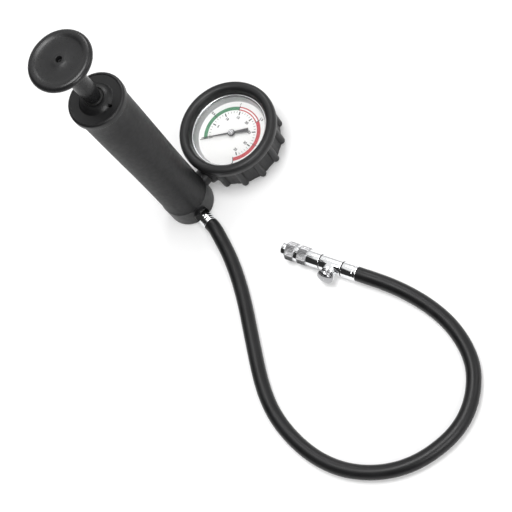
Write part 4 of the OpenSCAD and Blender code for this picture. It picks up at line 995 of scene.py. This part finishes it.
edge_bevel(frame["nodes"]["base_cap"], 0.45, 35, 3)
build_grip()
build_top_cap()
build_knob()
build_boot()
build_window()
build_dial()
build_needle()
build_pump_fitting()
build_tee()
build_relief_valve()
build_coupler()
build_springs()
# These are at the hose's far end too, and keep their CAD meshes
CORD_PIECES += ["lock_balls", "mouth_seal", "mouth_valve"]
build_hose()


# ---------------------------------------------------------------- stage
def build_floor():
    """A pale floor with a faint light of its own for the camera and for mirrors and glass."""
    floor_mat = bpy.data.materials.new("floor_white")
    tree, bsdf = nodes_of(floor_mat)
    bsdf.inputs["Base Color"].default_value = (0.82, 0.82, 0.82, 1)
    bsdf.inputs["Roughness"].default_value = 0.9
    bsdf.inputs["Specular IOR Level"].default_value = 0.1
    path = tree.nodes.new("ShaderNodeLightPath")
    seen = math_node(tree, "MAXIMUM", path.outputs["Is Camera Ray"], path.outputs["Is Glossy Ray"])
    seen = math_node(tree, "MAXIMUM", seen, path.outputs["Is Transmission Ray"])
    glow = math_node(tree, "MULTIPLY", seen, FLOOR_GLOW)
    bsdf.inputs["Emission Color"].default_value = (1, 1, 1, 1)
    tree.links.new(glow, bsdf.inputs["Emission Strength"])
    verts = [(-4000, -4000, -0.2), (4000, -4000, -0.2), (4000, 4000, -0.2), (-4000, 4000, -0.2)]
    floor = solid("floor", verts, [(0, 1, 2, 3)], floor_mat)


def build_world():
    """White to the camera, plain grey as light, and a room with dark parts in reflections."""
    world = bpy.data.worlds.new("studio")
    bpy.context.scene.world = world
    world.use_nodes = True
    tree = world.node_tree
    back = tree.nodes["Background"]
    coords = tree.nodes.new("ShaderNodeTexCoord").outputs["Generated"]
    split = tree.nodes.new("ShaderNodeSeparateXYZ")
    tree.links.new(coords, split.inputs["Vector"])

    def toward(direction, clear, full):
        m = tree.nodes.new("ShaderNodeMapRange")
        m.inputs["From Min"].default_value = clear
        m.inputs["From Max"].default_value = full
        tree.links.new(split.outputs[direction], m.inputs["Value"])
        return m.outputs["Result"]

    # A dark wall on the -X side, which gives the plated parts their dark streak
    wall = math_node(tree, "MULTIPLY", toward("X", -0.16, -0.32), toward("Z", 0.93, 0.86))
    # and a narrow grey skirting all round, which draws their outlines
    skirting = math_node(tree, "MULTIPLY", toward("Z", 0.2, 0.12), 0.8)
    dark = math_node(tree, "MAXIMUM", wall, skirting)
    sky = ramp(tree, dark, [(0.0, (0.95, 0.95, 0.95)), (1.0, (0.03, 0.03, 0.03))])
    path = tree.nodes.new("ShaderNodeLightPath")
    room = mix_colour(tree, path.outputs["Is Glossy Ray"], (0.5, 0.5, 0.5, 1), sky)
    shown = mix_colour(tree, path.outputs["Is Camera Ray"], room, (1, 1, 1, 1))
    tree.links.new(shown, back.inputs["Color"])


def lamp(name, place, target, size, power):
    light = bpy.data.lights.new(name, "AREA")
    light.shape = "DISK"
    light.size = size
    light.energy = power
    obj = bpy.data.objects.new(name, light)
    bpy.context.scene.collection.objects.link(obj)
    obj.location = place
    aim = Vector(target) - Vector(place)
    obj.rotation_euler = aim.to_track_quat("-Z", "Y").to_euler()


def build_camera():
    """The photograph's camera, with its three directions made square to each other."""
    data = bpy.data.cameras.new("camera")
    data.sensor_width = SENSOR_W
    data.lens = FOCAL_PX / IMAGE_PX * SENSOR_W
    data.clip_start, data.clip_end = 0.05, 20.0
    camera = bpy.data.objects.new("camera", data)
    bpy.context.scene.collection.objects.link(camera)
    right = Vector(CAMERA_RIGHT)
    up = Vector(CAMERA_UP)
    back = right.cross(up).normalized()
    up = back.cross(right).normalized()
    right.normalize()
    turned = Matrix((right, up, back)).transposed().to_4x4()
    camera.matrix_world = Matrix.Translation(CAMERA_PLACE) @ turned
    bpy.context.scene.camera = camera


build_floor()
build_world()
lamp("overhead", (0.05, -0.05, 1.5), (0, -0.1, 0.05), 0.7, 13.0)
lamp("fill", (1.3, -1.0, 0.9), (0, -0.1, 0.05), 0.9, 3.0)
lamp("back", (0.85, 0.6, 1.1), (0, -0.1, 0.05), 0.45, 4.0)
lamp("front", (-0.12, -1.1, 0.8), (0, -0.05, 0.1), 0.45, 5.0)
build_camera()
bpy.context.scene.view_settings.view_transform = "Standard"
